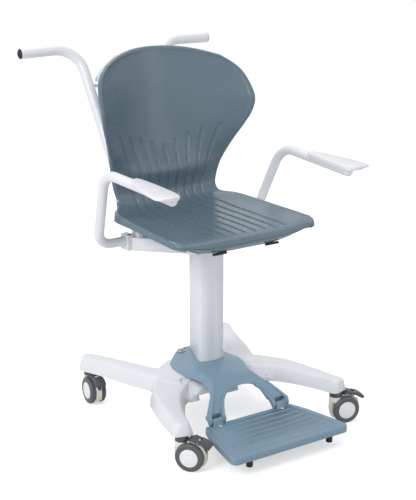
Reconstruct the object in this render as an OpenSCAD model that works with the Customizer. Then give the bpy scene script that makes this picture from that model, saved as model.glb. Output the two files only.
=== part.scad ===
// Chair scale on four braked twin-wheel castors: a moulded seat shell on a column that
// stands on a weighing platform, with folding armrests, a folding footrest, a push
// handle frame and a display with buttons behind the backrest.
// Millimetres, +Z up. X = 0 is the middle plane and +X is the sitter's left.
// The front of the chair faces -Y, and Y = 0 of the working datum runs through the column.
// Every node is moved back by mid_y, so the origin lies on the floor under the middle
// of the overall length and width.

/* [Castors] */
// Wheel diameter
wheel_d = 75; // [60:1:76]
// Width over both wheels of one castor
wheels_w = 46; // [40:1:50]
// Distance from the swivel axis to the wheel axle
trail = 25; // [18:1:28]
// Across the middle plane to the front swivel axes
front_stem_x = 246; // [240:1:250]
// Front swivel axes, ahead of the column
front_stem_y = -263; // [-268:1:-258]
// Across the middle plane to the rear swivel axes
rear_stem_x = 227; // [222:1:232]
// Rear swivel axes, behind the column
rear_stem_y = 241; // [236:1:246]

/* [Base] */
// Underside of the base casting
base_bottom = 92; // [88:1:94]
// Top of the hub of the base
hub_top = 134; // [130:1:136]
// Side draft of the castings over their height
leg_draft = 10; // [4:1:12]
// Wall of the castings
cast_wall = 5; // [3:0.5:7]

/* [Carrier and column] */
// Level of the carrier's top, where the column stands
carrier_top = 159; // [156:1:164]
// Wall of the carrier casting
carrier_wall = 6; // [4:0.5:8]
// Top end of the column
column_top = 454; // [380:1:470]
// Width of the column's flat front face
column_face_w = 60; // [50:1:62]
// Depth of the column from its front face
column_depth = 107; // [90:1:112]

/* [Seat] */
// Level of the seat shell's middle above the column's top end
seat_rise = 95; // [85:1:110]
// Wall of the seat shell
shell_wall = 4.5; // [3:0.5:6]
// Depth of the grooves in the seat
groove_depth = 3; // [0:0.5:3.5]
// Height of the seat frame's box arms
frame_h = 36; // [28:1:38]
// Width of the box arms
frame_w = 44; // [30:1:50]

/* [Armrests] */
// Tube diameter of the armrests
arm_tube_d = 26; // [22:1:28]
// Pivot pin diameter
arm_pivot_d = 16; // [12:1:18]
// Thickness of an arm pad
pad_t = 12; // [8:1:14]

/* [Push handle] */
// Tube diameter of the handle frame
handle_tube_d = 28; // [24:1:30]
// Half the distance between the two uprights
handle_x = 130; // [124:1:134]
// Half the width over the grips
grip_reach = 305; // [270:1:330]
// Cross bar diameter
bar_d = 11; // [8:1:12]

/* [Display] */
// Width of the display housing
display_w = 190; // [180:1:200]
// Wall of the housing
display_wall = 3; // [2:0.5:4]
// Diameter of the buttons
button_d = 15; // [10:1:18]
// Distance between the buttons
button_pitch = 30; // [24:1:32]
// Press travel of a button
button_travel = 1.2; // [0.5:0.1:1.4]

/* [Footrest] */
// Level of the footrest's tread
tread_z = 58; // [52:1:60]
// Thickness of the footrest plate
plate_t = 20; // [14:1:22]
// Front edge of the footrest
footrest_front = -398; // [-410:1:-380]
// Hinge pin diameter
hinge_pin_d = 6; // [5:0.5:8]

/* [Fits] */
// Radial clearance where a pin turns or a button slides
run_gap = 0.05; // [0.02:0.01:0.09]
// Clearance between seated pieces
seat_gap = 0.3; // [0.2:0.1:0.5]
// Clearance between pieces that move past each other
move_gap = 0.6; // [0.4:0.1:1]

/* [Hidden] */
$fn = 48;

white_paint = "#e6e8ee";
blue_grey = "#5f7380";
light_blue = "#7f9bb0";
cream = "#e9e8df";
tyre_grey = "#54585e";
black = "#1d1f22";
steel = "#b9bdc2";

grip_y = 446;
grip_z = 951;
mid_y = (grip_y + handle_tube_d / 2 + footrest_front) / 2;

wheel_r = wheel_d / 2;
wheel_gap = 15.4;
tyre_w = (wheels_w - wheel_gap) / 2;
cap_r = wheel_r - 11;
stem_r = 6;
collar_top = base_bottom - seat_gap;
collar_h = 17;
collar_r = 17.5;
fork_w = wheel_gap - 2 * move_gap;
axle_r = 4;

// Swivel axis and trail direction of each castor
castors = [
    ["front_left", [front_stem_x, front_stem_y], -15],
    ["front_right", [-front_stem_x, front_stem_y], -52],
    ["rear_left", [rear_stem_x, rear_stem_y], -75],
    ["rear_right", [-rear_stem_x, rear_stem_y], -96]
];

// General helpers
function unit(v) = v / norm(v);
function mirrored(points) = [for (i = [len(points) - 1:-1:0]) [-points[i].x, points[i].y]];
function mix(a, b, t) = a + (b - a) * t;
function smooth(t) = let (c = min(1, max(0, t))) c * c * (3 - 2 * c);

// Catmull-Rom point of a row of values at parameter t, counted in stations
function spline(rows, t) =
    let (
        last = len(rows) - 1,
        k = min(last - 1, max(0, floor(t))),
        f = t - k,
        a = rows[max(0, k - 1)],
        b = rows[k],
        c = rows[k + 1],
        d = rows[min(last, k + 2)]
    )
    0.5 * (2 * b + (c - a) * f + (2 * a - 5 * b + 4 * c - d) * f * f
        + (3 * b - a - 3 * c + d) * f * f * f);

module at_datum() {
    translate([0, -mid_y, 0]) children();
}

module both_sides() {
    children();
    mirror([1, 0, 0]) children();
}

module placed(origin, x, y, z) {
    multmatrix([
        [x.x, y.x, z.x, origin.x],
        [x.y, y.y, z.y, origin.y],
        [x.z, y.z, z.z, origin.z],
        [0, 0, 0, 1]
    ]) children();
}

// Solid through rings of equal length, each wound about the direction of travel
module loft(rings) {
    n = len(rings[0]);
    m = len(rings);
    polyhedron(
        points = [for (ring = rings) each ring],
        faces = concat(
            [[for (i = [0:n - 1]) i]],
            [for (k = [0:m - 2], i = [0:n - 1])
                [k * n + i, (k + 1) * n + i, (k + 1) * n + (i + 1) % n]],
            [for (k = [0:m - 2], i = [0:n - 1])
                [k * n + i, (k + 1) * n + (i + 1) % n, k * n + (i + 1) % n]],
            [[for (i = [n - 1:-1:0]) (m - 1) * n + i]]
        ),
        convexity = 6
    );
}

// Straight round bar from a to b
module rod(a, b, r) {
    d = unit(b - a);
    s = unit(cross(d, abs(d.z) < 0.9 ? [0, 0, 1] : [1, 0, 0]));
    placed(a, s, cross(d, s), d) cylinder(h = norm(b - a), r = r);
}

// Points and directions along a path of corners, with one bend radius per inner corner
bend_step = 15;

function bend_run(path, bends) =
    let (
        last = len(path) - 1,
        dirs = [for (i = [0:last - 1]) unit(path[i + 1] - path[i])]
    )
    concat(
        [[path[0], dirs[0]]],
        [for (i = [1:last - 1]) each
            let (
                a = dirs[i - 1],
                b = dirs[i],
                turn = acos(a * b),
                r = bends[i - 1],
                inward = unit(b - a * (a * b)),
                middle = path[i] - a * r * tan(turn / 2) + inward * r,
                steps = max(1, round(turn / bend_step))
            )
            [for (k = [0:steps])
                let (q = turn * k / steps)
                [middle - inward * r * cos(q) + a * r * sin(q), a * cos(q) + inward * sin(q)]]],
        [[path[last], dirs[last - 1]]]
    );

// Bent tube swept along such a path
tube_sides = 24;

module bent_rod(path, bends, r) {
    run = bend_run(path, bends);
    first = run[0][1];
    start = unit(cross(first, abs(first.z) < 0.9 ? [0, 0, 1] : [1, 0, 0]));
    loft([for (k = 0, u = start; k < len(run);
            k = k + 1, u = k < len(run) ? unit(u - run[k][1] * (u * run[k][1])) : u)
        let (p = run[k][0], w = cross(run[k][1], u))
        [for (i = [0:tube_sides - 1])
            let (a = 360 * i / tube_sides)
            p + r * (u * cos(a) + w * sin(a))]]);
}

// Extrusion along X of an outline given as [y, z], centred on x
module across(x, w, outline) {
    translate([x - w / 2, 0, 0]) rotate([90, 0, 90]) linear_extrude(w) polygon(outline);
}

// Cylinder along X
module pin_x(x0, x1, y, z, r) {
    translate([x0, y, z]) rotate([0, 90, 0]) cylinder(h = x1 - x0, r = r);
}

// Base casting
// Stations of a leg: x, y, half width at the top, top level
front_leg = [
    [95, -5, 50, hub_top - 5], [150, -60, 44, hub_top - 4], [184, -98, 37, hub_top - 4.5],
    [209, -151, 28, hub_top - 5], [227, -199, 23, hub_top - 7], [240, -243, 19.5, hub_top - 8]
];
rear_leg = [
    [90, -10, 40, hub_top - 1], [138, 25, 31, hub_top - 1], [157, 64, 27, hub_top - 2],
    [179, 125, 25, hub_top - 3], [203, 190, 23.5, hub_top - 5], [222, 232, 22.5, hub_top - 6]
];
tip_steps = [[18, 1], [31, 0.9], [38, 0.62], [40, 0.35]];

function leg_dir(leg, i) =
    unit([
        leg[min(len(leg) - 1, i + 1)].x - leg[max(0, i - 1)].x,
        leg[min(len(leg) - 1, i + 1)].y - leg[max(0, i - 1)].y
    ]);

function leg_ring(c, d, half, top, bottom, draft, r) =
    let (
        s = [-d.y, d.x],
        arc = [for (a = [0:30:90]) [half - r + r * cos(a), top - r + r * sin(a)]],
        low = [[-half - draft, bottom], [half + draft, bottom]],
        back = [for (i = [len(arc) - 1:-1:0]) [-arc[i].x, arc[i].y]]
    )
    [for (q = concat(low, arc, back)) [c.x + s.x * q.x, c.y + s.y * q.x, q.y]];

module leg(stations, inset, roof, tip) {
    last = len(stations) - 1;
    d_end = leg_dir(stations, last);
    ends = [for (t = tip_steps) [
        stations[last].x + d_end.x * t[0] * tip, stations[last].y + d_end.y * t[0] * tip,
        stations[last][2] * t[1], stations[last][3] - 2 * (1 - t[1])
    ]];
    all = concat(stations, ends);
    loft([for (i = [0:len(all) - 1])
        leg_ring([all[i].x, all[i].y], i > last ? d_end : leg_dir(stations, i),
            max(3, all[i][2] - inset), all[i][3] - roof,
            inset > 0 ? base_bottom - 2 : base_bottom, leg_draft, inset > 0 ? 2 : 8)]);
}

// Hub outline: front corner, side, rear corner and rear end of the right half
hub_corners = [[112, -78], [140, -30], [128, 18], [60, 66]];

module hub_body() {
    hull() for (x = [-1, 1], c = hub_corners) translate([x * c.x, c.y, base_bottom]) {
        cylinder(h = hub_top - 14 - base_bottom, r1 = 30 + leg_draft, r2 = 30, $fn = 32);
        cylinder(h = hub_top - 4 - base_bottom, r = 22, $fn = 32);
        cylinder(h = hub_top - base_bottom, r = 8, $fn = 32);
    }
}

// The bay between the front legs, with its ridge on each side: level, then its right half
bay_levels = [
    [base_bottom - 2, [[35, -152], [78, -151], [126, -150], [128, -132], [139, -124],
        [152, -140], [206, -240], [225, -330]]],
    [112, [[35, -136], [78, -134], [107, -102], [116, -98], [133, -104], [152, -134],
        [205, -235], [220, -330]]],
    [125, [[35, -66], [78, -66], [95, -76], [112, -78], [131, -94], [151, -131],
        [205, -232], [217, -330]]],
    [130, [[35, -46], [78, -46], [101, -47], [119, -61], [134, -92], [152, -130],
        [205, -231], [216, -330]]],
    [hub_top + 2, [[35, -34], [78, -34], [104, -36], [122, -56], [137, -88], [153, -129],
        [205, -230], [215, -330]]]
];

module front_bay() {
    loft([for (b = bay_levels) [for (p = concat(b[1], mirrored(b[1]))) [-p.x, p.y, b[0]]]]);
}

// Arched recess in the front wall of the hub, with upright ribs across it
recess_half = 112;
recess_floor_y = -126;
recess_rib_pitch = 20;

module front_recess() {
    arch = [for (a = [0:15:180]) [recess_half * cos(a), base_bottom + 18 * sin(a)]];
    difference() {
        translate([0, recess_floor_y, 0]) rotate([90, 0, 0])
            linear_extrude(40) polygon(concat([[recess_half, 80]], arch, [[-recess_half, 80]]));
        for (i = [-5:5]) translate([i * recess_rib_pitch - 1.5, -170, 70]) cube([3, 60, 60]);
    }
}

module stem_place() {
    for (c = castors) translate([c[1].x, c[1].y, 0]) children();
}

cell_l = 116;
cell_w = 30;
cell_h = 24;
cell_z = 112;
cell_bolt_y = [36, 49];
cell_bolt_r = 4;

module cell_well() {
    translate([-cell_w / 2 - 3, -cell_l / 2 - 3, cell_z - 3])
        cube([cell_w + 6, cell_l + 6, hub_top]);
}

// Pockets between the ribs under the hub: front edge, length and roof of each row
pocket_rows = [[-118, 54, 104], [-58, 28, 120], [-24, 36, 122], [18, 38, 122]];

module hub_pockets() {
    for (x = [-1, 1], row = pocket_rows)
        translate([x * 62 - 34, row[0], base_bottom - 1])
            cube([68, row[1], row[2] - base_bottom + 1]);
}

module base_body() {
    difference() {
        hub_body();
        front_bay();
    }
    both_sides() {
        leg(front_leg, 0, 0, 1);
        leg(rear_leg, 0, 0, 0.8);
    }
}

// Hollows under the legs, with a boss round each stem and a rib across each leg
module leg_hollows() {
    difference() {
        both_sides() {
            leg([for (i = [2:5]) front_leg[i]], cast_wall, cast_wall, 0.1);
            leg([for (i = [2:5]) rear_leg[i]], cast_wall, cast_wall, 0.1);
        }
        stem_place() cylinder(h = hub_top, r = 17);
        both_sides() {
            translate([209, -151, 0]) rotate(-66) cube([3, 120, 3 * hub_top], center = true);
            translate([179, 125, 0]) rotate(70) cube([3, 120, 3 * hub_top], center = true);
        }
    }
}

module base_casting() {
    at_datum() color(white_paint) difference() {
        union() {
            difference() {
                base_body();
                leg_hollows();
                hub_pockets();
                front_recess();
                cell_well();
            }
            cell_pad();
        }
        for (y = cell_bolt_y)
            translate([0, y, base_bottom - 1]) cylinder(h = hub_top, r = cell_bolt_r + seat_gap);
        stem_place() translate([0, 0, base_bottom - 1])
            cylinder(h = 25, r = stem_r + run_gap);
    }
}

// Load cell: a bar with two bores joined by a slot, bolted to the base at the rear and
// to the carrier at the front
module load_cell() {
    at_datum() color(steel) difference() {
        translate([-cell_w / 2, -cell_l / 2, cell_z]) cube([cell_w, cell_l, cell_h]);
        for (y = [-14, 14]) pin_x(-cell_w, cell_w, y, cell_z + cell_h / 2, 8);
        translate([-cell_w, -14, cell_z + cell_h / 2 - 2]) cube([2 * cell_w, 28, 4]);
        for (y = cell_bolt_y, s = [-1, 1])
            translate([0, s * y, 0]) cylinder(h = 200, r = cell_bolt_r + seat_gap);
    }
}

// Raised pad in the well under the fixed end of the load cell
cell_pad_y = 28;

module cell_pad() {
    translate([-cell_w / 2, cell_pad_y, cell_z - 6])
        cube([cell_w, cell_l / 2 - cell_pad_y, 6 - seat_gap]);
}

module load_cell_bolts() {
    at_datum() color("#7c8085") {
        for (y = cell_bolt_y) translate([0, y, 0]) {
            translate([0, 0, base_bottom + 4])
                cylinder(h = cell_z + cell_h - base_bottom - 4, r = cell_bolt_r);
            translate([0, 0, cell_z + cell_h]) cylinder(h = 5, r = 6.5);
        }
        for (y = cell_bolt_y) translate([0, -y, 0]) {
            translate([0, 0, cell_z - 2.5]) cylinder(h = 2.5, r = 6.5);
            translate([0, 0, cell_z]) cylinder(h = cell_h + 12, r = cell_bolt_r);
        }
    }
}

// Carrier: the hood over the hub, its apron and the two arms of the footrest.
// Stations of the hood: y, top level, half width and level of the crease, half width and
// level of the lower edge, the levels counted down from the carrier's top
hood = [
    [89, 1, 16, 3, 24, 21], [84, 0.5, 36, 3, 46, 22], [72, 0.5, 54, 5, 67, 22],
    [50, 0.5, 66, 8, 86, 23], [18, 0.5, 72, 9, 97, 23], [-20, 0.5, 76, 8, 101, 22],
    [-43, 1, 79, 7, 99, 23.5], [-60, 4, 79, 8, 91, 28], [-76, 8, 74, 10, 83, 29],
    [-98, 11, 63, 10.5, 79, 29], [-126, 17, 60, 15, 81, 33], [-144, 25, 70, 23, 87, 38]
];

// Stations round the arch and down an arm: arch edge, outer crease, outer lower edge
arm_rows = [
    [[0, -159, 127], [77, -153, 129], [92, -158, 115]],
    [[30, -160, 126], [80, -159, 126], [98, -163, 110]],
    [[50, -166, 121], [85, -167, 120], [106, -171, 101]],
    [[62, -173, 111], [92, -177, 113], [114, -178, 92]],
    [[69, -185, 97], [104, -191, 100], [123, -187, 80]],
    [[75, -198, 79], [114, -202, 85], [126, -196, 69]]
];
arch_flange = [0, 18, -6];
hood_last = len(hood) - 1;

// Points of one carrier station on the right: flange, middle or arch edge, top, crease, edge
function carrier_row(i) =
    i <= hood_last
    ? let (s = hood[i], z = carrier_top)
        [[0, s[0], z - s[1] - 9], [0, s[0], z - s[1]], [s[2] * 0.55, s[0], z - s[1]],
            [s[2], s[0], z - s[3]], [s[4], s[0], z - s[5]]]
    : let (r = arm_rows[i - hood_last - 1])
        [r[0] + arch_flange, r[0], mix(r[0], r[1], 0.55), r[1], r[2]];

function mirror_point(p) = [-p.x, p.y, p.z];

// Sheet that splits into two arms at row fork_row, given by the rows of its right half
module forked_sheet(rows, fork_row, wall) {
    m = len(rows);
    n = len(rows[0]);
    function shared(i, j) = i <= fork_row && j <= 1;
    function left_of(i, j) =
        shared(i, j) ? mirror_point(rows[i][2]) : rows[i][max(0, j - 1)];
    function normal(i, j) =
        let (
            down = rows[min(m - 1, i + 1)][j] - rows[max(0, i - 1)][j],
            right = rows[i][min(n - 1, j + 1)] - left_of(i, j),
            v = cross(down, right),
            w = shared(i, j) ? [0, v.y, v.z] : j == n - 1 ? [v.x, v.y, 0] : v
        )
        unit(w);
    half = [for (i = [0:m - 1], j = [0:n - 1]) rows[i][j]];
    inner = [for (i = [0:m - 1], j = [0:n - 1])
        (i == fork_row && j == 0) ? rows[i][0] + [0, 0, -1] - wall * [0, -0.1, 0.9]
        : rows[i][j] - wall * normal(i, j)];
    size = m * n;
    all = concat(half, inner, [for (p = half) mirror_point(p)],
        [for (p = inner) mirror_point(p)]);
    function at(side, layer, i, j) =
        ((side == 1 && !shared(i, j)) ? 2 * size : 0) + layer * size + i * n + j;
    function quad(side, a, b, c, d) =
        side == 0 ? [[a, b, c], [a, c, d]] : [[a, c, b], [a, d, c]];
    skin = [for (i = [0:m - 2], j = [0:n - 2]) if (j > 0 || i >= fork_row) [i, j]];
    faces = concat(
        [for (side = [0, 1], q = skin) each quad(side,
            at(side, 0, q[0], q[1]), at(side, 0, q[0], q[1] + 1),
            at(side, 0, q[0] + 1, q[1] + 1), at(side, 0, q[0] + 1, q[1]))],
        [for (side = [0, 1], q = skin) each quad(1 - side,
            at(side, 1, q[0], q[1]), at(side, 1, q[0], q[1] + 1),
            at(side, 1, q[0] + 1, q[1] + 1), at(side, 1, q[0] + 1, q[1]))],
        [for (side = [0, 1], i = [0:m - 2]) each quad(side,
            at(side, 0, i, n - 1), at(side, 1, i, n - 1),
            at(side, 1, i + 1, n - 1), at(side, 0, i + 1, n - 1))],
        [for (side = [0, 1], i = [fork_row:m - 2]) each quad(1 - side,
            at(side, 0, i, 0), at(side, 1, i, 0),
            at(side, 1, i + 1, 0), at(side, 0, i + 1, 0))],
        [for (side = [0, 1], j = [1:n - 2]) each quad(1 - side,
            at(side, 0, 0, j), at(side, 0, 0, j + 1),
            at(side, 1, 0, j + 1), at(side, 1, 0, j))],
        [for (side = [0, 1], j = [0:n - 2]) each quad(side,
            at(side, 0, m - 1, j), at(side, 0, m - 1, j + 1),
            at(side, 1, m - 1, j + 1), at(side, 1, m - 1, j))]
    );
    polyhedron(points = all, faces = faces, convexity = 8);
}

hinge_y = -207;
hinge_z = 66;
hinge_x0 = 76;
hinge_x1 = 127;
ear_t = 9;
knuckle_r = 7;
ear_profile = [[-211, 60.5], [-213.5, 68], [-212, 78], [-206, 85], [-190, 84], [-188, 74],
    [-198, 70], [-202, 61]];

module hub_carrier() {
    at_datum() color(light_blue) difference() {
        union() {
            forked_sheet([for (i = [0:hood_last + len(arm_rows)]) carrier_row(i)],
                hood_last + 1, carrier_wall);
            both_sides() {
                across((hinge_x0 + hinge_x1) / 2, hinge_x1 - hinge_x0, ear_profile);
                pin_x(hinge_x0, hinge_x1, hinge_y, hinge_z, knuckle_r);
            }
            translate([-cell_w / 2, -cell_l / 2, cell_z + cell_h + seat_gap])
                cube([cell_w, cell_l / 2 - cell_pad_y, 16]);
            column_plinth();
        }
        both_sides() {
            translate([hinge_x0 + ear_t, hinge_y - 20, hinge_z - 20])
                cube([hinge_x1 - hinge_x0 - 2 * ear_t, 20 + knuckle_r + 1.5, 20 + knuckle_r + 1.5]);
            pin_x(hinge_x0 - 1, hinge_x1 + 1, hinge_y, hinge_z, hinge_pin_d / 2 + run_gap);
        }
        for (y = cell_bolt_y) translate([0, -y, 0])
            cylinder(h = cell_z + cell_h + 12.5, r = cell_bolt_r + seat_gap);
        translate(level_place) cylinder(h = 20, r = level_r + seat_gap);
    }
}

module column_plinth() {
    translate([0, 0, carrier_top - 8]) linear_extrude(8) column_outline(-2);
}

// Bubble level let into the carrier behind the column
level_place = [-36, 66, carrier_top - 4];
level_r = 11;

module level_ring() {
    at_datum() color(steel) translate(level_place) difference() {
        cylinder(h = 6, r = level_r);
        translate([0, 0, 1.5]) cylinder(h = 6, r = level_r - 2.5);
    }
}

module level_vial() {
    at_datum() color("#d8e6c0") translate(level_place + [0, 0, 1.5 + seat_gap])
        cylinder(h = 5, r = level_r - 2.5 - seat_gap);
}

// Column: a bulged front, wide shoulders and sides that draw in towards the rear
column_front = -38;
column_bulge = 6;

module column_outline(inset) {
    half = column_face_w / 2;
    side = [
        [0, -column_bulge + inset], [half * 0.6, -column_bulge * 0.62 + inset],
        [half - inset * 0.6, inset], [half + 4.5 - inset * 0.7, 1.8 + inset * 0.7],
        [half + 7.2 - inset * 0.9, 5 + inset * 0.4], [half + 8 - inset, 10],
        [half + 5 - inset, 26], [half - 3 - inset, 46], [half - 11 - inset, 66],
        [half - 19 - inset, 88], [6, column_depth - inset], [0, column_depth + 1 - inset]
    ];
    translate([0, column_front])
        polygon(concat(side, [for (i = [len(side) - 2:-1:1]) [-side[i].x, side[i].y]]));
}

module column() {
    at_datum() color(white_paint) translate([0, 0, carrier_top]) difference() {
        linear_extrude(column_top - carrier_top) column_outline(0);
        translate([0, 0, 6]) linear_extrude(column_top) column_outline(4);
    }
}

neck_h = 3;

module column_collar() {
    at_datum() color("#c9cdd2") translate([0, 0, column_top])
        linear_extrude(neck_h) column_outline(-1.5);
}

// Seat frame: box arms from the column to the armrest pivots, under a mounting plate
frame_z = column_top + neck_h;
arm_pivot_y = 130;
arm_pivot_z = frame_z + frame_h / 2 + 6;
frame_end_x = 160;
frame_top = frame_z + frame_h;
plate_h = 5;
seat_z = column_top + seat_rise;

module seat_frame() {
    half = frame_w / 2;
    slope = unit([118, 115]);
    across_arm = [slope.y, -slope.x] * half;
    inner = [20, 0];
    outer = [frame_end_x - 20, arm_pivot_y - 14];
    arm = [inner + across_arm, outer + across_arm, [frame_end_x, arm_pivot_y - 18],
        [frame_end_x, arm_pivot_y + 18], [frame_end_x - 34, arm_pivot_y + 18],
        inner - across_arm];
    at_datum() color(white_paint) difference() {
        union() {
            both_sides() translate([0, 0, frame_z]) linear_extrude(frame_h) polygon(arm);
            translate([0, 0, frame_z]) linear_extrude(frame_h) polygon([
                [-40, -44], [40, -44], [52, -20], [52, 40], [30, 66], [-30, 66], [-52, 40],
                [-52, -20]
            ]);
            translate([-105, -120, frame_top]) cube([210, 200, plate_h]);
            both_sides() translate([frame_end_x - 8, arm_pivot_y - 18, frame_z])
                cube([20, 38, arm_pivot_z + arm_r + 4 - frame_z]);
        }
        both_sides() pin_x(frame_end_x - 28, frame_end_x + 20, arm_pivot_y, arm_pivot_z,
            arm_pivot_d / 2 + run_gap);
        both_sides() pin_x(frame_end_x, frame_end_x + 13, arm_pivot_y + 15, frame_top - 5, 2.5);
    }
}

spacer_places = [[80, -95], [80, 55]];

module seat_spacers() {
    at_datum() color(black) both_sides() for (p = spacer_places)
        translate([p.x, p.y, frame_top + plate_h]) cylinder(h = spacer_h, r = 12);
}

spacer_h = seat_z - shell_wall - 2.2 - frame_top - plate_h;

// Seat shell: stations from the top of the back to the front edge.
// Each holds the middle line y, z, then the edge x, y, z, with z counted from the seat.
shell_rows = [
    [262, 421, 176, 189, 391], [258, 401, 205, 167, 371], [252, 375, 224, 147, 349],
    [244, 341, 236, 123, 313], [235, 301, 239, 107, 279], [226, 256, 232, 111, 243],
    [217, 211, 217, 126, 207], [206, 166, 198, 149, 164], [190, 130, 184, 168, 126],
    [174, 96, 174, 181, 94], [179, 60, 167, 187, 60], [178, 32, 165, 182, 36],
    [158, 10, 182, 163, 20], [112, 2, 203, 122, 14], [40, 0, 210, 45, 13],
    [-50, 2, 214, -50, 13], [-130, 3, 218, -130, 13], [-180, 2, 218, -176, 12],
    [-205, -4, 205, -203, 5], [-208, -18, 190, -207, -3], [-187, -35, 172, -190, -12]
];
groove_share_top = 0.18;
groove_share_front = 0.142;
rim_band = 0.045;
rows_per_station = 2;

// Columns of the shell counted in groove spacings, then shares of the half width
groove_columns = [for (k = [-4:4]) each
    (k < 4 ? [k - 0.2, k, k + 0.2, k + 0.5] : [k - 0.2, k, k + 0.2])];
edge_shares = [0.84, 0.9, 1 - rim_band, 1];

function groove_share(t) =
    mix(groove_share_top, groove_share_front, smooth((t - 6) / 11));

// Depth of groove k at station t: the outer grooves start higher up the back
function groove_at(k, t) =
    let (start = 7 - abs(k) * 0.22, stop = 17.35)
    groove_depth * smooth((t - start) / 0.5) * smooth((stop - t) / 0.4);

function is_groove(c) = abs(c - round(c)) < 0.01;

// Front surface of the shell at share s of the half width, station t
function shell_point(s, t) =
    let (
        r = spline(shell_rows, t),
        on_seat = smooth((t - 10.5) / 2.5),
        bow_y = mix(1.8, 3, on_seat),
        bow_z = mix(2.35, 4, on_seat),
        a = abs(s)
    )
    [
        s * r[2],
        mix(r[0], r[3], pow(a, bow_y)),
        seat_z + mix(r[1], r[4], pow(a, bow_z))
    ];

// Direction in which the shell's edge is turned over at station t
function flange_at(t) =
    let (on_seat = smooth((t - 9.5) / 3), front = smooth((t - 17) / 2.5))
    mix(mix([2, 5, 0], [3, 0, -20], on_seat), [1, 4, -5], front);

function shell_row(t) =
    let (
        share = groove_share(t),
        mid = [for (c = groove_columns) shell_point(c * share, t)
            - (is_groove(c) ? groove_at(round(c), t) : 0) * sink_dir(t)],
        left = [for (i = [len(edge_shares) - 1:-1:0]) shell_point(-edge_shares[i], t)],
        right = [for (s = edge_shares) shell_point(s, t)],
        f = flange_at(t),
        edge_l = left[0],
        edge_r = right[len(right) - 1]
    )
    concat([edge_l + [-f.x, f.y, f.z], edge_l + [-f.x, f.y, f.z] * 0.35], left, mid, right,
        [edge_r + f * 0.35, edge_r + f]);

// Direction out of the front surface at the middle line
function sink_dir(t) =
    let (
        a = spline(shell_rows, t - 0.05),
        b = spline(shell_rows, t + 0.05),
        d = unit([b[0] - a[0], b[1] - a[1]])
    )
    [0, d.y, -d.x];

module seat_shell() {
    last = len(shell_rows) - 1;
    steps = last * rows_per_station;
    front = [for (i = [0:steps]) shell_row(i / rows_per_station)];
    at_datum() color(blue_grey) thick_sheet(front, shell_wall);
}

function grid_normal(g, i, j) =
    let (
        m = len(g) - 1,
        n = len(g[0]) - 1,
        down = g[min(m, i + 1)][j] - g[max(0, i - 1)][j],
        right = g[i][min(n, j + 1)] - g[i][max(0, j - 1)]
    )
    unit(cross(down, right));

// Sheet of even thickness behind a grid of points
module thick_sheet(front, wall) {
    m = len(front);
    n = len(front[0]);
    rear = [for (i = [0:m - 1]) [for (j = [0:n - 1])
        front[i][j] - wall * grid_normal(front, i, j)]];
    size = m * n;
    quads = concat(
        [for (i = [0:m - 2], j = [0:n - 2])
            [i * n + j, i * n + j + 1, (i + 1) * n + j + 1, (i + 1) * n + j]],
        [for (i = [0:m - 2], j = [0:n - 2])
            [size + i * n + j, size + (i + 1) * n + j, size + (i + 1) * n + j + 1,
                size + i * n + j + 1]],
        [for (i = [0:m - 2])
            [i * n, (i + 1) * n, size + (i + 1) * n, size + i * n]],
        [for (i = [0:m - 2])
            [i * n + n - 1, size + i * n + n - 1, size + (i + 1) * n + n - 1,
                (i + 1) * n + n - 1]],
        [for (j = [0:n - 2]) [j, size + j, size + j + 1, j + 1]],
        [for (j = [0:n - 2])
            [(m - 1) * n + j, (m - 1) * n + j + 1, size + (m - 1) * n + j + 1,
                size + (m - 1) * n + j]]
    );
    polyhedron(
        points = concat([for (r = front) each r], [for (r = rear) each r]),
        faces = [for (q = quads) each [[q[0], q[1], q[2]], [q[0], q[2], q[3]]]],
        convexity = 10
    );
}

// Rubber strips under the front edge: inner end, rear side, length, width and height
strip_x = 60;
strip_y = -190;
strip_l = 42;
strip_w = 6;
strip_h = 6;
shell_front_z = seat_z + shell_rows[len(shell_rows) - 1][1];

module seat_edge_strips() {
    at_datum() color(black) both_sides()
        translate([strip_x, strip_y, shell_front_z - seat_gap - strip_h])
            cube([strip_l, strip_w, strip_h]);
}

// Armrests: a bent tube that turns about its stub, with a wing-shaped pad
arm_r = arm_tube_d / 2;
arm_path = [
    [frame_end_x + 12 + move_gap, arm_pivot_y, arm_pivot_z], [252, arm_pivot_y, arm_pivot_z],
    [279, 38, 700], [266, -262, 690]
];
arm_bends = [48, 76];

module arm_pivot_pins() {
    at_datum() color(steel) both_sides()
        pin_x(frame_end_x - 28, frame_end_x + 58, arm_pivot_y, arm_pivot_z, arm_pivot_d / 2);
}

module armrest() {
    difference() {
        bent_rod(arm_path, arm_bends, arm_r);
        pin_x(frame_end_x, frame_end_x + 59, arm_pivot_y, arm_pivot_z,
            arm_pivot_d / 2 + run_gap);
    }
}

module armrest_left() {
    at_datum() color(white_paint) armrest();
}

module armrest_right() {
    at_datum() color(white_paint) mirror([1, 0, 0]) armrest();
}

// Stations of a pad: y, inner x, outer x, top level, thickness share
pad_rows = [
    [-94, 256, 279, 711, 1.3], [-104, 247, 286, 712, 1.3], [-124, 245, 292, 711, 1.2],
    [-150, 245, 299, 710, 1], [-216, 245, 314, 708, 0.8], [-262, 246, 321, 706, 0.65],
    [-280, 251, 322, 705, 0.55], [-289, 264, 315, 704, 0.5]
];

function pad_ring(s) =
    let (
        y = s[0],
        a = s[1],
        b = s[2],
        top = s[3],
        low = top - pad_t * s[4],
        e = 4
    )
    [[b - e, y, low], [b, y, low + e * 0.8], [b, y, top - e * 0.5], [b - e, y, top],
        [a + e, y, top], [a, y, top - e * 0.5], [a, y, low + e * 0.8], [a + e, y, low]];

module arm_pad() {
    difference() {
        loft([for (s = pad_rows) pad_ring(s)]);
        bent_rod([arm_path[1], arm_path[2], arm_path[3] + (arm_path[3] - arm_path[2]) * 0.2],
            [arm_bends[1]], arm_r + seat_gap);
    }
}

module arm_pad_left() {
    at_datum() color(white_paint) arm_pad();
}

module arm_pad_right() {
    at_datum() color(white_paint) mirror([1, 0, 0]) arm_pad();
}

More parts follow.
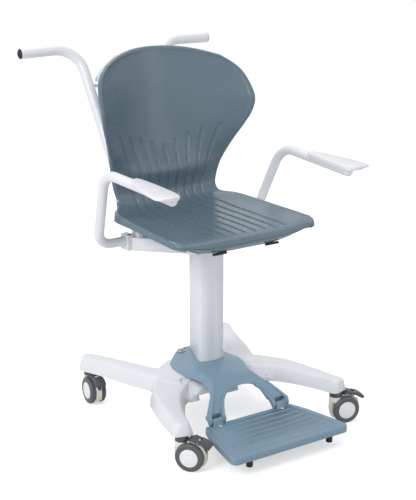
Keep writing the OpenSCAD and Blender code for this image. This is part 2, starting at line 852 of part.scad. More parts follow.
// Push handle: two bent tubes clamped to the seat frame, tied by a cross bar
handle_r = handle_tube_d / 2;
handle_foot_z = frame_top + plate_h + 5 + handle_r;
handle_path = [
    [handle_x, 92, handle_foot_z], [handle_x, 214, handle_foot_z], [handle_x, 214, 603],
    [handle_x, 442, 954], [grip_reach - 3, grip_y, grip_z]
];
handle_bends = [40, 60, 70];
handle_wall = 2;

module handle_tube() {
    grip_dir = unit(handle_path[4] - handle_path[3]);
    difference() {
        bent_rod(handle_path, handle_bends, handle_r);
        rod(handle_path[4] - grip_dir * 30, handle_path[4] + grip_dir, handle_r - handle_wall);
        pin_x(handle_x - 30, handle_x, bar_y, bar_z, bar_d / 2 + seat_gap);
    }
}

module handle_tube_left() {
    at_datum() color(white_paint) handle_tube();
}

module handle_tube_right() {
    at_datum() color(white_paint) mirror([1, 0, 0]) handle_tube();
}

module handle_plug() {
    grip_dir = unit(handle_path[4] - handle_path[3]);
    side = unit(cross(grip_dir, [0, 0, 1]));
    placed(handle_path[4], side, cross(grip_dir, side), grip_dir) {
        translate([0, 0, -24]) cylinder(h = 24, r = handle_r - handle_wall - seat_gap);
        intersection() {
            cylinder(h = 7, r = handle_r);
            translate([0, 0, -13]) sphere(r = 20, $fn = 64);
        }
    }
}

module handle_plugs() {
    at_datum() color(black) both_sides() handle_plug();
}

// The cross bar lies on the line of the rising part of the tubes
bar_z = 857;
bar_rise = (bar_z - handle_path[2].z) / (handle_path[3].z - handle_path[2].z);
bar_y = mix(handle_path[2].y, handle_path[3].y, bar_rise);

module cross_bar() {
    at_datum() color(white_paint)
        pin_x(-handle_x, handle_x, bar_y, bar_z, bar_d / 2);
}

clamp_y = 112;

module handle_clamps() {
    half = handle_r + 5;
    at_datum() color(white_paint) both_sides() difference() {
        translate([handle_x - half, clamp_y - 16, frame_top + seat_gap])
            cube([2 * half, 32, handle_foot_z - frame_top + handle_r + 3]);
        translate([handle_x, clamp_y - 20, handle_foot_z]) rotate([-90, 0, 0])
            cylinder(h = 40, r = handle_r + run_gap);
    }
}

// Display housing: a wedge on the cross bar whose face looks up and to the rear
display_low = bar_z + bar_d / 2 + seat_gap;
display_profile = [
    [bar_y - 79, display_low], [bar_y + 30, display_low], [bar_y + 30, bar_z + 11],
    [bar_y + 18, bar_z + 25], [bar_y + 3, bar_z + 40], [bar_y - 77, bar_z + 90],
    [bar_y - 101, bar_z + 94], [bar_y - 107, bar_z + 87]
];
face_low = [0, display_profile[4].x, display_profile[4].y];
face_high = [0, display_profile[5].x, display_profile[5].y];
face_mid = (face_low + face_high) / 2;
face_up = unit(face_high - face_low);
face_out = cross([1, 0, 0], face_up) * -1;
bezel_t = 12;
board_depth = 9;
switch_h = 1;
window_w = 124;
window_h = 44;
window_v = 16;
button_v = -26;
button_r = button_d / 2;

// Children drawn on the face: x across, y up the face, z out of it
module on_face() {
    placed(face_mid, [-1, 0, 0], face_up, face_out) children();
}

module display_wedge() {
    across(0, display_w, display_profile);
}

module bezel_zone(depth) {
    on_face() translate([-display_w, -90, -depth]) cube([2 * display_w, 180, depth + 30]);
}

module display_bezel() {
    inner_w = display_w - 2 * display_wall;
    at_datum() color(white_paint) difference() {
        union() {
            difference() {
                intersection() {
                    display_wedge();
                    bezel_zone(bezel_t);
                }
                on_face() translate([-inner_w / 2, -46, -bezel_t - 20])
                    cube([inner_w, 90, bezel_t + 20 - display_wall]);
            }
            on_face() for (x = [-1, 1], y = [-42, 40])
                translate([x * 82, y, -board_depth + seat_gap])
                    cylinder(h = board_depth - seat_gap - display_wall, r = 3.5);
        }
        on_face() {
            translate([-window_w / 2, window_v - window_h / 2, -1.6])
                cube([window_w, window_h, 20]);
            translate([-window_w / 2 + 3, window_v - window_h / 2 + 3, -20])
                cube([window_w - 6, window_h - 6, 40]);
            for (i = [-2:2]) translate([i * button_pitch, button_v, -20])
                cylinder(h = 40, r = button_r + run_gap);
        }
    }
}

module display_back() {
    inner_w = display_w - 2 * display_wall;
    w = display_wall;
    inner = [
        [bar_y - 77 + w, display_low + w], [bar_y + 30 - w, display_low + w],
        [bar_y + 30 - w, bar_z + 11], [bar_y + 3, bar_z + 36], [bar_y - 75, bar_z + 86 - w],
        [bar_y - 98, bar_z + 92 - w], [bar_y - 105 + w, bar_z + 88 - w]
    ];
    at_datum() color(white_paint) difference() {
        union() {
            difference() {
                display_wedge();
                bezel_zone(bezel_t + 0.2);
                across(0, inner_w, inner);
            }
            for (x = [-60, 60]) across(x, 14, [
                [bar_y - 11, bar_z - 9], [bar_y + 11, bar_z - 9],
                [bar_y + 11, display_low], [bar_y - 11, display_low]
            ]);
        }
        pin_x(-80, 80, bar_y, bar_z, bar_d / 2 + seat_gap);
        translate([-door_w / 2, door_y - door_l / 2, display_low - 1])
            cube([door_w, door_l, display_wall + 2]);
    }
}

door_w = 96;
door_l = 42;
door_y = 338;

module battery_door() {
    at_datum() color("#d3d6db") {
        translate([-door_w / 2 + seat_gap, door_y - door_l / 2 + seat_gap, display_low])
            cube([door_w - 2 * seat_gap, door_l - 2 * seat_gap, display_wall]);
        translate([-14, door_y + door_l / 2 - 10, display_low - 1]) cube([28, 5, 1]);
    }
}

module battery_pack() {
    at_datum() color("#3f7f5a")
        translate([-door_w / 2 + 2, door_y - 17, display_low + display_wall + seat_gap])
            cube([door_w - 4, 34, 20]);
}

module lcd_panel() {
    at_datum() color("#9fae9a") on_face()
        translate([-window_w / 2 + 4, window_v - window_h / 2 + 4, -board_depth + seat_gap])
            cube([window_w - 8, window_h - 8, board_depth - seat_gap - 2]);
}

module display_window() {
    at_datum() color("#20262b") on_face()
        translate([-window_w / 2 + 0.3, window_v - window_h / 2 + 0.3, -1.6 + 0.1])
            cube([window_w - 0.6, window_h - 0.6, 1.5]);
}

module circuit_board() {
    at_datum() color("#2f6b4a") on_face() {
        translate([-88, -45.5, -board_depth - 1.6]) cube([176, 89, 1.6]);
        for (i = [-2:2]) translate([i * button_pitch, button_v, -board_depth])
            cylinder(h = switch_h, r = 3);
    }
}

// Buttons, from the operator's left to right
module button(i) {
    on_face() translate([i * button_pitch, button_v, 0]) {
        translate([0, 0, -display_wall - 0.3]) cylinder(h = display_wall + 1.8, r = button_r);
        translate([0, 0, -display_wall - 1.5]) cylinder(h = 1.2, r = button_r + 1.2);
        translate([0, 0, -board_depth + switch_h + button_travel + seat_gap])
            cylinder(h = board_depth - switch_h - button_travel - seat_gap - display_wall - 1,
                r = 2.5);
    }
}

module power_button() {
    at_datum() color("#6f8f74") button(-2);
}

module zero_button() {
    at_datum() color(blue_grey) button(-1);
}

module hold_button() {
    at_datum() color(blue_grey) button(0);
}

module bmi_button() {
    at_datum() color(blue_grey) button(1);
}

module unit_button() {
    at_datum() color(blue_grey) button(2);
}

// Footrest: a ribbed pan hinged to the carrier's arms
plate_edge = [[136, -203], [141, -210], [155, -256], [166, -305], [176, -352], [182, -386],
    [178, -395], [170, footrest_front]];

function plate_outline(inset) =
    let (right = [for (p = plate_edge) [p.x - inset, p.y + (p.y < -300 ? inset : -inset)]])
    concat(right, mirrored(right));

screw_place = [99, -220];
tread_ribs = 7;
rib_first_y = -231;
rib_pitch = 24;

module rib_bar(y, half) {
    translate([0, y, tread_z - 2.1]) linear_extrude(2.1) union() {
        translate([-half, -3]) square([2 * half, 6]);
        for (x = [-half, half]) translate([x, 0]) circle(r = 3);
    }
}

module footrest() {
    at_datum() color(light_blue) difference() {
        union() {
            translate([0, 0, tread_z - plate_t]) linear_extrude(plate_t)
                polygon(plate_outline(0));
            both_sides() {
                pin_x(hinge_x0 + ear_t + move_gap, hinge_x1 - ear_t - move_gap, hinge_y,
                    hinge_z, knuckle_r);
                across((hinge_x0 + hinge_x1) / 2, hinge_x1 - hinge_x0 - 2 * ear_t - 2 * move_gap,
                    [[hinge_y - knuckle_r, tread_z - 8], [hinge_y + 4, tread_z - 8],
                        [hinge_y + 4, hinge_z - 5], [hinge_y - knuckle_r, hinge_z]]);
            }
        }
        difference() {
            translate([0, 0, tread_z - 2]) linear_extrude(10) polygon(plate_outline(8));
            for (i = [0:tread_ribs - 1])
                rib_bar(rib_first_y - i * rib_pitch, 118 + i * 4);
            both_sides() translate([screw_place.x, screw_place.y, tread_z - 2])
                cylinder(h = 2, r = 7);
            both_sides() translate([80, -222, tread_z - 3]) cube([42, 20, 20]);
        }
        translate([0, 0, tread_z - plate_t - 1]) linear_extrude(plate_t - 6)
            polygon(plate_outline(4));
        both_sides() {
            pin_x(hinge_x0, hinge_x1, hinge_y, hinge_z, hinge_pin_d / 2 + run_gap);
            translate([hinge_x0 - move_gap, hinge_y - knuckle_r - 2, tread_z - plate_t - 1])
                cube([ear_t + 2 * move_gap, 20, plate_t + 2]);
            translate([hinge_x1 - ear_t - move_gap, hinge_y - knuckle_r - 2, tread_z - plate_t - 1])
                cube([ear_t + 2 * move_gap, 20, plate_t + 2]);
        }
    }
}

foot_x = 126;
foot_y = footrest_front + 13;

module footrest_feet() {
    at_datum() color(black) both_sides() translate([foot_x, foot_y, tread_z - plate_t - 18])
        cylinder(h = plate_t + 18 - 7 - seat_gap, r = 8.5);
}

module footrest_screws() {
    at_datum() color(steel) both_sides() translate([screw_place.x, screw_place.y, tread_z])
        cylinder(h = 1.2, r = 4.5);
}

module footrest_pins() {
    at_datum() color(steel) both_sides()
        pin_x(hinge_x0 - 0.5, hinge_x1 + 0.5, hinge_y, hinge_z, hinge_pin_d / 2);
}

// Castors, each drawn with its swivel axis on Z and its axle towards +X
stem_depth = 10;

module caster_stems() {
    at_datum() color("#4a4e54") stem_place() {
        translate([0, 0, collar_top - collar_h - stem_depth])
            cylinder(h = base_bottom + 22 - collar_top + collar_h + stem_depth, r = stem_r);
        translate([0, 0, collar_top - collar_h]) cylinder(h = collar_h, r = collar_r);
    }
}

module at_castor(name) {
    for (c = castors) if (c[0] == name)
        at_datum() translate([c[1].x, c[1].y, 0]) rotate(c[2]) children();
}

pedal_pivot = [43.5, 78];
hood_r = wheel_r + 4;

module fork(name) {
    top = collar_top - collar_h - seat_gap;
    at_castor(name) color(cream) difference() {
        union() {
            intersection() {
                translate([trail, fork_w / 2, wheel_r]) rotate([90, 0, 0])
                    cylinder(h = fork_w, r = hood_r);
                translate([-20, -20, 15]) cube([120, 40, 100]);
            }
            translate([-17, -fork_w / 2, wheel_r]) cube([34, fork_w, top - wheel_r]);
            translate([0, 0, wheel_r + 22]) cylinder(h = top - wheel_r - 22, r = 17);
            translate([pedal_pivot.x, fork_w / 2, pedal_pivot.y]) rotate([90, 0, 0])
                cylinder(h = fork_w, r = 5);
            translate([pedal_pivot.x - 9, -fork_w / 2, wheel_r + 30]) cube([13, fork_w, 8]);
            translate([pedal_pivot.x, 13, pedal_pivot.y]) rotate([90, 0, 0])
                cylinder(h = 26, r = 2);
        }
        translate([0, 0, top]) cylinder(h = collar_h, r = collar_r + move_gap);
        translate([0, 0, top + seat_gap - stem_depth - 0.5])
            cylinder(h = stem_depth + 2, r = stem_r + run_gap);
        translate([trail, 30, wheel_r]) rotate([90, 0, 0])
            cylinder(h = 60, r = axle_r + run_gap);
        for (s = [0, 1]) translate([trail, s * (30 + fork_w / 2) - fork_w / 2, wheel_r])
            rotate([90, 0, 0]) cylinder(h = 30, r = wheel_r + 1);
    }
}

module axle(name) {
    at_castor(name) color(steel) translate([trail, wheels_w / 2 - 3, wheel_r])
        rotate([90, 0, 0]) cylinder(h = wheels_w - 6, r = axle_r);
}

module tyres(name) {
    at_castor(name) color(tyre_grey) for (s = [-1, 1])
        translate([trail, s * (wheel_gap + tyre_w) / 2, wheel_r]) rotate([90, 0, 0])
            rotate_extrude() polygon([
                [cap_r + 0.5, -tyre_w / 2], [wheel_r - 3, -tyre_w / 2], [wheel_r, -tyre_w / 2 + 3.5],
                [wheel_r, tyre_w / 2 - 3.5], [wheel_r - 3, tyre_w / 2], [cap_r + 0.5, tyre_w / 2]
            ]);
}

module hubs(name) {
    at_castor(name) color("#ebeeee") for (s = [-1, 1])
        translate([trail, s * wheel_gap / 2, wheel_r]) rotate([-90 * s, 0, 0]) difference() {
            union() {
                cylinder(h = tyre_w - 1, r = cap_r + 0.5);
                translate([0, 0, tyre_w - 1]) cylinder(h = 1.5, r1 = cap_r + 0.5, r2 = cap_r - 2);
            }
            translate([0, 0, -1]) cylinder(h = tyre_w - 2, r = axle_r + run_gap);
        }
}

pedal_profile = [
    [18.5, 80], [18.5, 83], [31, 86], [34, 88.5], [39, 86], [47, 83.5], [57, 81.5], [67, 78],
    [76, 71.5], [78, 66], [75, 62.5], [68, 65], [60, 70], [53, 74.5], [44, 76.5], [40, 77],
    [34, 80], [31, 82.5]
];

module pedal(name) {
    at_castor(name) color("#4a4e54") difference() {
        union() {
            translate([0, 15, 0]) rotate([90, 0, 0]) linear_extrude(30) polygon(pedal_profile);
            for (s = [-1, 1]) translate([pedal_pivot.x, s * 10.5 + 2.5, pedal_pivot.y])
                rotate([90, 0, 0]) cylinder(h = 5, r = 4.5);
        }
        translate([pedal_pivot.x - 13, -fork_w / 2 - move_gap, 60])
            cube([22, fork_w + 2 * move_gap, pedal_pivot.y + 6 - 60]);
        translate([pedal_pivot.x, 20, pedal_pivot.y]) rotate([90, 0, 0])
            cylinder(h = 40, r = 2 + run_gap);
        translate([0, 0, collar_top - collar_h - 1])
            cylinder(h = collar_h + 2, r = collar_r + move_gap + 0.4);
    }
}

base_casting();
caster_stems();
load_cell();
load_cell_bolts();
hub_carrier();
level_ring();
level_vial();
column();
column_collar();
seat_frame();
seat_spacers();
seat_shell();
seat_edge_strips();
arm_pivot_pins();
handle_clamps();
handle_tube_left();
handle_tube_right();
handle_plugs();
cross_bar();
display_back();
display_bezel();
lcd_panel();
display_window();
circuit_board();
battery_pack();
battery_door();
footrest_pins();
power_button();
zero_button();
hold_button();
bmi_button();
unit_button();
armrest_left();
armrest_right();
arm_pad_left();
arm_pad_right();
footrest();
footrest_feet();
footrest_screws();
fork("front_left");  // fork_front_left
axle("front_left");  // axle_front_left
tyres("front_left");  // tyres_front_left
hubs("front_left");  // hubs_front_left
pedal("front_left");  // pedal_front_left
fork("front_right");  // fork_front_right
axle("front_right");  // axle_front_right
tyres("front_right");  // tyres_front_right
hubs("front_right");  // hubs_front_right
pedal("front_right");  // pedal_front_right
fork("rear_left");  // fork_rear_left
axle("rear_left");  // axle_rear_left
tyres("rear_left");  // tyres_rear_left
hubs("rear_left");  // hubs_rear_left
pedal("rear_left");  // pedal_rear_left
fork("rear_right");  // fork_rear_right
axle("rear_right");  // axle_rear_right
tyres("rear_right");  // tyres_rear_right
hubs("rear_right");  // hubs_rear_right
pedal("rear_right");  // pedal_rear_right
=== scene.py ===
"""Looks of the weighing chair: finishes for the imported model, and finer pieces over it."""

import math

import bmesh
import bpy
import numpy as np
from bpy.props import FloatProperty, FloatVectorProperty, IntProperty, PointerProperty
from mathutils import Matrix, Vector


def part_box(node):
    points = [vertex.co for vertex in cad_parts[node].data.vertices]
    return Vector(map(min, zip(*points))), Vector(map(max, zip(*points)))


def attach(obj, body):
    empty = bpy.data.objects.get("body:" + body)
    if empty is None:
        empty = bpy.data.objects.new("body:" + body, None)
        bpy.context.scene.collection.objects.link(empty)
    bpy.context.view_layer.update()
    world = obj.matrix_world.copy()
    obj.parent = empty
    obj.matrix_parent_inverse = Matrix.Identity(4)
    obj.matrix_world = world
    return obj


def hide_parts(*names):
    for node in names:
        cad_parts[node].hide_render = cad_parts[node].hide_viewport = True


bl_info = {
    "name": "Weighing chair",
    "version": (1, 0, 0),
    "blender": (4, 5, 0),
    "location": "3D View > Sidebar > Weighing chair",
    "description": "Builds the finishes, the moulded pieces and the stage of a weighing chair",
    "category": "Object",
}

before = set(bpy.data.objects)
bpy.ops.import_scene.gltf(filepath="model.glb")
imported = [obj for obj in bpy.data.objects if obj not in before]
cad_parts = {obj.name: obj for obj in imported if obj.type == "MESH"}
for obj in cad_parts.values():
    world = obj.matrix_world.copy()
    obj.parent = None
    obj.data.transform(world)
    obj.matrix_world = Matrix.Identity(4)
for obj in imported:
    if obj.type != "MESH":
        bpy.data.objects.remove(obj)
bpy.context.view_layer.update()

# The drawing has its datum, Y = 0, at the column, and the cross bar 379 mm behind it
BAR_BEHIND_COLUMN = 0.379
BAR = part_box("cross_bar")
SHIFT = (BAR[0].y + BAR[1].y) / 2 - BAR_BEHIND_COLUMN
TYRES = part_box("tyres_front_left")
WHEEL_RADIUS = (TYRES[1].z - TYRES[0].z) / 2
# In a copy of a CAD node, points this near are merged, in metres, and edges this flat dissolved
WELD = 2e-5
FLAT = math.radians(0.6)


def at(x, y, z):
    """A point of the drawing, given in millimetres from the datum, in the frame's metres."""
    return Vector((x / 1000, y / 1000 + SHIFT, z / 1000))


def linear(code):
    """An sRGB hex colour as the linear colour that a shader takes."""
    parts = [int(code[i:i + 2], 16) / 255 for i in (1, 3, 5)]
    return [p / 12.92 if p <= 0.04045 else ((p + 0.055) / 1.055) ** 2.4 for p in parts] + [1.0]


def add(tree, kind, inputs=None, **properties):
    """Add a node with its properties; an input is a value, a socket, or a node's first output."""
    made = tree.nodes.new(kind)
    for key, value in properties.items():
        setattr(made, key, value)
    for key, value in (inputs or {}).items():
        if isinstance(value, bpy.types.Node):
            value = value.outputs[0]
        if isinstance(value, bpy.types.NodeSocket):
            tree.links.new(value, made.inputs[key])
        else:
            made.inputs[key].default_value = value
    return made


def blank_material(name):
    """A material with an empty node tree."""
    material = bpy.data.materials.new(name)
    material.use_nodes = True
    material.node_tree.nodes.clear()
    return material, material.node_tree


def shade(colour, share):
    """A lighter or darker shade of a colour."""
    return [min(1, c * share) for c in colour[:3]] + [1.0]


def coated(name, colour, rough, grain, relief, drift=0.05, coat=0.0, metallic=0.0, cells=False):
    """A paint or moulded skin: grain is its texture's size and relief its depth, in mm.

    Its tone drifts by a share over clouds 55 mm wide, and its gloss over patches 17 mm wide.
    """
    material, tree = blank_material(name)
    place = add(tree, "ShaderNodeTexCoord").outputs["Object"]
    cloud = add(tree, "ShaderNodeTexNoise", {"Vector": place, "Scale": 18.0, "Detail": 5.0})
    tone = add(tree, "ShaderNodeMix", {
        "Factor": cloud, 6: shade(colour, 1 - drift), 7: shade(colour, 1 + drift),
    }, data_type="RGBA")
    if cells:
        skin = add(tree, "ShaderNodeTexVoronoi", {"Vector": place, "Scale": 1000 / grain},
                   feature="SMOOTH_F1")
    else:
        skin = add(tree, "ShaderNodeTexNoise", {
            "Vector": place, "Scale": 1000 / grain, "Detail": 3.0, "Roughness": 0.45,
        })
    wear = add(tree, "ShaderNodeTexNoise", {"Vector": place, "Scale": 60.0, "Detail": 6.0})
    dull = add(tree, "ShaderNodeMapRange", {
        "Value": wear, "From Min": 0.3, "From Max": 0.7,
        "To Min": rough - 0.05, "To Max": rough + 0.06,
    })
    bump = add(tree, "ShaderNodeBump", {"Height": skin, "Strength": 1.0, "Distance": relief / 1000})
    shader = add(tree, "ShaderNodeBsdfPrincipled", {
        "Base Color": tone.outputs[2], "Roughness": dull, "Normal": bump,
        "Metallic": metallic, "Coat Weight": coat, "Coat Roughness": 0.25,
    })
    add(tree, "ShaderNodeOutputMaterial", {"Surface": shader})
    return material


def brushed(name, colour, rough, direction):
    """A metal whose fine lines run along one axis, drawn 1 mm apart so that they show."""
    material, tree = blank_material(name)
    place = add(tree, "ShaderNodeTexCoord").outputs["Object"]
    stretch = add(tree, "ShaderNodeMapping", {"Vector": place, "Scale": direction})
    lines = add(tree, "ShaderNodeTexNoise", {"Vector": stretch, "Scale": 1.0, "Detail": 3.0})
    tone = add(tree, "ShaderNodeMix", {
        "Factor": lines, 6: shade(colour, 0.85), 7: shade(colour, 1.08),
    }, data_type="RGBA")
    dull = add(tree, "ShaderNodeMapRange", {
        "Value": lines, "To Min": rough - 0.08, "To Max": rough + 0.1,
    })
    bump = add(tree, "ShaderNodeBump", {"Height": lines, "Strength": 1.0, "Distance": 0.00002})
    shader = add(tree, "ShaderNodeBsdfPrincipled", {
        "Base Color": tone.outputs[2], "Roughness": dull, "Normal": bump, "Metallic": 1.0,
    })
    add(tree, "ShaderNodeOutputMaterial", {"Surface": shader})
    return material


def clear_material(name, colour, rough, clear, ior):
    """A clear moulding, tinted in its depth, with faint wipe marks in its gloss."""
    material, tree = blank_material(name)
    place = add(tree, "ShaderNodeTexCoord").outputs["Object"]
    marks = add(tree, "ShaderNodeTexNoise", {"Vector": place, "Scale": 90.0, "Detail": 4.0})
    dull = add(tree, "ShaderNodeMapRange", {
        "Value": marks, "To Min": rough, "To Max": rough + 0.08,
    })
    shader = add(tree, "ShaderNodeBsdfPrincipled", {
        "Base Color": colour, "Roughness": dull, "Transmission Weight": clear, "IOR": ior,
    })
    add(tree, "ShaderNodeOutputMaterial", {"Surface": shader})
    return material


FINISHES = {}


def settings(group):
    """The user's sizes and colours of one group of pieces."""
    return getattr(bpy.context.scene, "weighing_chair_" + group)


def finish(name):
    """A finish, made once, when a piece first asks for it."""
    if name not in FINISHES:
        maker, label, colour, *values, options = RECIPES[name]
        if isinstance(colour, str):
            colour = linear(colour)
        else:
            colour = getattr(settings(colour[0]), colour[1])[:]
        FINISHES[name] = maker(label, colour, *values, **options)
    return FINISHES[name]


# Every finish: its maker, the material's name, its colour and the maker's other values. A colour
# is a hex code or, where the user can set it, the group and the name of the setting
RECIPES = {
    # Powder coat on steel tube: satin, with the soft orange peel of a baked film
    "powder coat": (coated, "Powder coat white", "#e3e5eb", 0.36, 2.4, 0.003,
                    {"drift": 0.02, "coat": 0.15}),
    # Two-pack enamel on an aluminium casting: smoother and a little glossier than powder
    "enamel": (coated, "Enamel on casting white", "#e4e6ec", 0.33, 9.0, 0.004,
               {"drift": 0.012, "coat": 0.1}),
    # The same enamel in blue on the carrier
    "blue enamel": (coated, "Enamel on casting blue", "#7e9aae", 0.33, 9.0, 0.004,
                    {"drift": 0.02, "coat": 0.1}),
    # Moulded polypropylene with a leather-like grain, drawn 3 mm wide so that it shows
    "polypropylene": (coated, "Polypropylene shell", ("shell", "colour"), 0.27, 2.8, 0.007,
                      {"drift": 0.045, "cells": True}),
    # Glass-filled nylon of the footrest: spark-eroded, slightly chalky
    "blue nylon": (coated, "Glass-filled nylon blue", "#7d98ab", 0.4, 1.8, 0.004, {"drift": 0.04}),
    # Moulded ABS, satin with a faint grain
    "abs": (coated, "ABS white", "#e2e3e8", 0.38, 1.6, 0.02, {"drift": 0.015}),
    # Cream nylon of the castor bodies, which yellows a little where it is thick
    "cream nylon": (coated, "Nylon cream", "#e8e6da", 0.34, 2.0, 0.02, {"drift": 0.03}),
    # Gloss caps snapped into the wheels
    "cap": (coated, "Polypropylene cap white", "#eceff0", 0.25, 5.0, 0.02,
            {"drift": 0.015, "coat": 0.4}),
    # Polyurethane tread: dense, faintly scuffed, satin
    "tyre": (coated, "Polyurethane tread", ("castor", "tread"), 0.42, 2.2, 0.05, {"drift": 0.09}),
    # Dark nylon of the pedals, evenly eroded to a dull skin
    "dark nylon": (coated, "Nylon dark", "#4a5058", 0.44, 1.5, 0.05, {"drift": 0.06}),
    # Dark grey zinc collar under the castings
    "collar": (coated, "Passivated zinc dark", "#4f5862", 0.3, 2.5, 0.03,
               {"drift": 0.06, "metallic": 0.35, "coat": 0.3}),
    # Moulded rubber: matt, with dust in its pores
    "rubber": (coated, "Rubber black", "#1c1d20", 0.62, 1.2, 0.06, {"drift": 0.15}),
    # Grey elastomer of the button caps, dry to the touch
    "keypad": (coated, "Silicone keypad grey", "#5d7180", 0.55, 1.2, 0.03, {}),
    "green keypad": (coated, "Silicone keypad green", "#5f9068", 0.55, 1.2, 0.03, {}),
    # Milled aluminium of the load cell: fine lines along its length
    "aluminium": (brushed, "Milled aluminium", "#c9ccd0", 0.34, (900, 30, 900), {}),
    # Turned steel pins: fine lines round the axis
    "steel": (brushed, "Turned steel", "#b7bac0", 0.28, (1000, 60, 60), {}),
    # Zinc-plated screws: bright with a faint blue cast
    "zinc": (coated, "Zinc-plated steel", "#c3c8ce", 0.27, 1.5, 0.02,
             {"drift": 0.08, "metallic": 1.0}),
    # Screws blackened against glare: dull, with a little of the metal's sheen
    "black screw": (coated, "Blackened steel", "#4a4d52", 0.35, 1.5, 0.03,
                    {"drift": 0.1, "metallic": 0.8}),
    # Acrylic window over the display, smoke tinted
    "window": (clear_material, "Acrylic smoke", "#3c444b", 0.04, 0.55, 1.49, {}),
    # Liquid crystal glass: grey-green, dead flat
    "lcd": (coated, "Liquid crystal glass", "#8f9e8a", 0.16, 3.0, 0.005, {"drift": 0.03}),
    # Solder resist over the board's copper
    "board": (coated, "Solder resist green", "#1f5c3b", 0.32, 1.3, 0.03, {"drift": 0.12}),
    # Shrink sleeve on the battery pack
    "sleeve": (coated, "Shrink sleeve green", "#3b7a56", 0.28, 6.0, 0.05, {"drift": 0.05}),
    # Acrylic vial with its yellow-green spirit
    "vial": (clear_material, "Spirit in acrylic", "#d3dba6", 0.03, 0.7, 1.45, {}),
}


# Mesh helpers

def ring_strip(shape, rings):
    """Quads between rings of points, with a face over each end."""
    rows = [[shape.verts.new(p) for p in ring] for ring in rings]
    count = len(rows[0])
    for a, b in zip(rows, rows[1:]):
        for i in range(count):
            j = (i + 1) % count
            shape.faces.new((a[i], a[j], b[j], b[i]))
    shape.faces.new(rows[0][::-1])
    shape.faces.new(rows[-1])


def turned(shape, profile, origin, axis, sides=64):
    """A solid of revolution through (radius, height) points, radius 0 closing it at a pole."""
    axis = Vector(axis).normalized()
    side = axis.orthogonal().normalized()
    other = axis.cross(side)
    rows = []
    for radius, height in profile:
        middle = Vector(origin) + axis * height
        if radius < 1e-6:
            rows.append([shape.verts.new(middle)])
            continue
        rows.append([shape.verts.new(middle + radius * (
            side * math.cos(math.tau * i / sides) + other * math.sin(math.tau * i / sides)))
            for i in range(sides)])
    for a, b in zip(rows, rows[1:]):
        for i in range(sides):
            j = (i + 1) % sides
            corners = [a[i % len(a)], a[j % len(a)], b[j % len(b)], b[i % len(b)]]
            unique = list(dict.fromkeys(corners))
            if len(unique) > 2:
                shape.faces.new(unique)


def prism(shape, outline, side, x0, x1):
    """An outline of (y, z) points, in millimetres, drawn out from x0 to x1 on one side."""
    points = outline if side > 0 else outline[::-1]
    ring_strip(shape, [[at(side * x, y, z) for y, z in points] for x in (x0, x1)])


def metres(profile):
    """A profile of (radius, height) points, in millimetres, in metres."""
    return [(radius / 1000, height / 1000) for radius, height in profile]


def new_piece(name, mesh, material, body, replaced=(), smooth=45):
    """Put a finished mesh into the scene as a piece that rides on a body."""
    mesh.name = name
    mesh.materials.clear()
    mesh.materials.append(material)
    mesh.shade_smooth()
    mesh.set_sharp_from_angle(angle=math.radians(smooth))
    piece = bpy.data.objects.new(name, mesh)
    bpy.context.scene.collection.objects.link(piece)
    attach(piece, body)
    if replaced:
        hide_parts(*replaced)


def settled(name, mesh, modifiers):
    """The mesh with modifiers applied; each is (kind, settings)."""
    carrier = bpy.data.objects.new(name, mesh)
    bpy.context.scene.collection.objects.link(carrier)
    for kind, values in modifiers:
        modifier = carrier.modifiers.new(kind.title(), kind)
        for key, value in values.items():
            setattr(modifier, key, value)
    bpy.context.view_layer.update()
    ready = carrier.evaluated_get(bpy.context.evaluated_depsgraph_get())
    result = bpy.data.meshes.new_from_object(ready)
    bpy.data.objects.remove(carrier)
    return result


def to_mesh(shape, name):
    """A closed shape as a mesh, with its doubles merged and its faces turned outwards."""
    bmesh.ops.remove_doubles(shape, verts=shape.verts, dist=1e-6)
    bmesh.ops.recalc_face_normals(shape, faces=shape.faces)
    mesh = bpy.data.meshes.new(name)
    shape.to_mesh(mesh)
    shape.free()
    return mesh


def edge_round(width, angle=35, segments=3):
    """The modifier that rounds hard edges to a width in millimetres."""
    return ("BEVEL", {"width": width / 1000, "segments": segments, "limit_method": "ANGLE",
                      "angle_limit": math.radians(angle), "harden_normals": True})


def softened(node, width, material, body, angle=35, smooth=50):
    """A merged copy of a CAD node with its hard edges rounded, which replaces the node."""
    shape = bmesh.new()
    shape.from_mesh(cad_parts[node].data)
    bmesh.ops.remove_doubles(shape, verts=shape.verts, dist=WELD)
    bmesh.ops.dissolve_limit(shape, angle_limit=FLAT, verts=shape.verts, edges=shape.edges)
    mesh = bpy.data.meshes.new(node)
    shape.to_mesh(mesh)
    shape.free()
    mesh = settled(node, mesh, [edge_round(width, angle)])
    new_piece(node + "_finished", mesh, material, body, (node,), smooth)


def dress(node, material):
    """Give a CAD node that stays a better material."""
    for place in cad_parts[node].material_slots:
        place.material = material


def grown(tree, points, edges, values, attributes=None):
    """Run a geometry tree over a few points and return the mesh that it makes."""
    mesh = bpy.data.meshes.new("seed")
    mesh.from_pydata([tuple(p) for p in points], edges, [])
    for key, (kind, numbers) in (attributes or {}).items():
        layer = mesh.attributes.new(key, kind, "POINT")
        for i, number in enumerate(numbers):
            if kind == "FLOAT":
                layer.data[i].value = number
            else:
                layer.data[i].vector = number
    seed = bpy.data.objects.new("seed", mesh)
    bpy.context.scene.collection.objects.link(seed)
    modifier = seed.modifiers.new("Grow", "NODES")
    modifier.node_group = tree
    for item in tree.interface.items_tree:
        if item.item_type == "SOCKET" and item.in_out == "INPUT" and item.name in values:
            modifier[item.identifier] = values[item.name]
    bpy.context.view_layer.update()
    ready = seed.evaluated_get(bpy.context.evaluated_depsgraph_get())
    result = bpy.data.meshes.new_from_object(ready)
    bpy.data.objects.remove(seed)
    return result


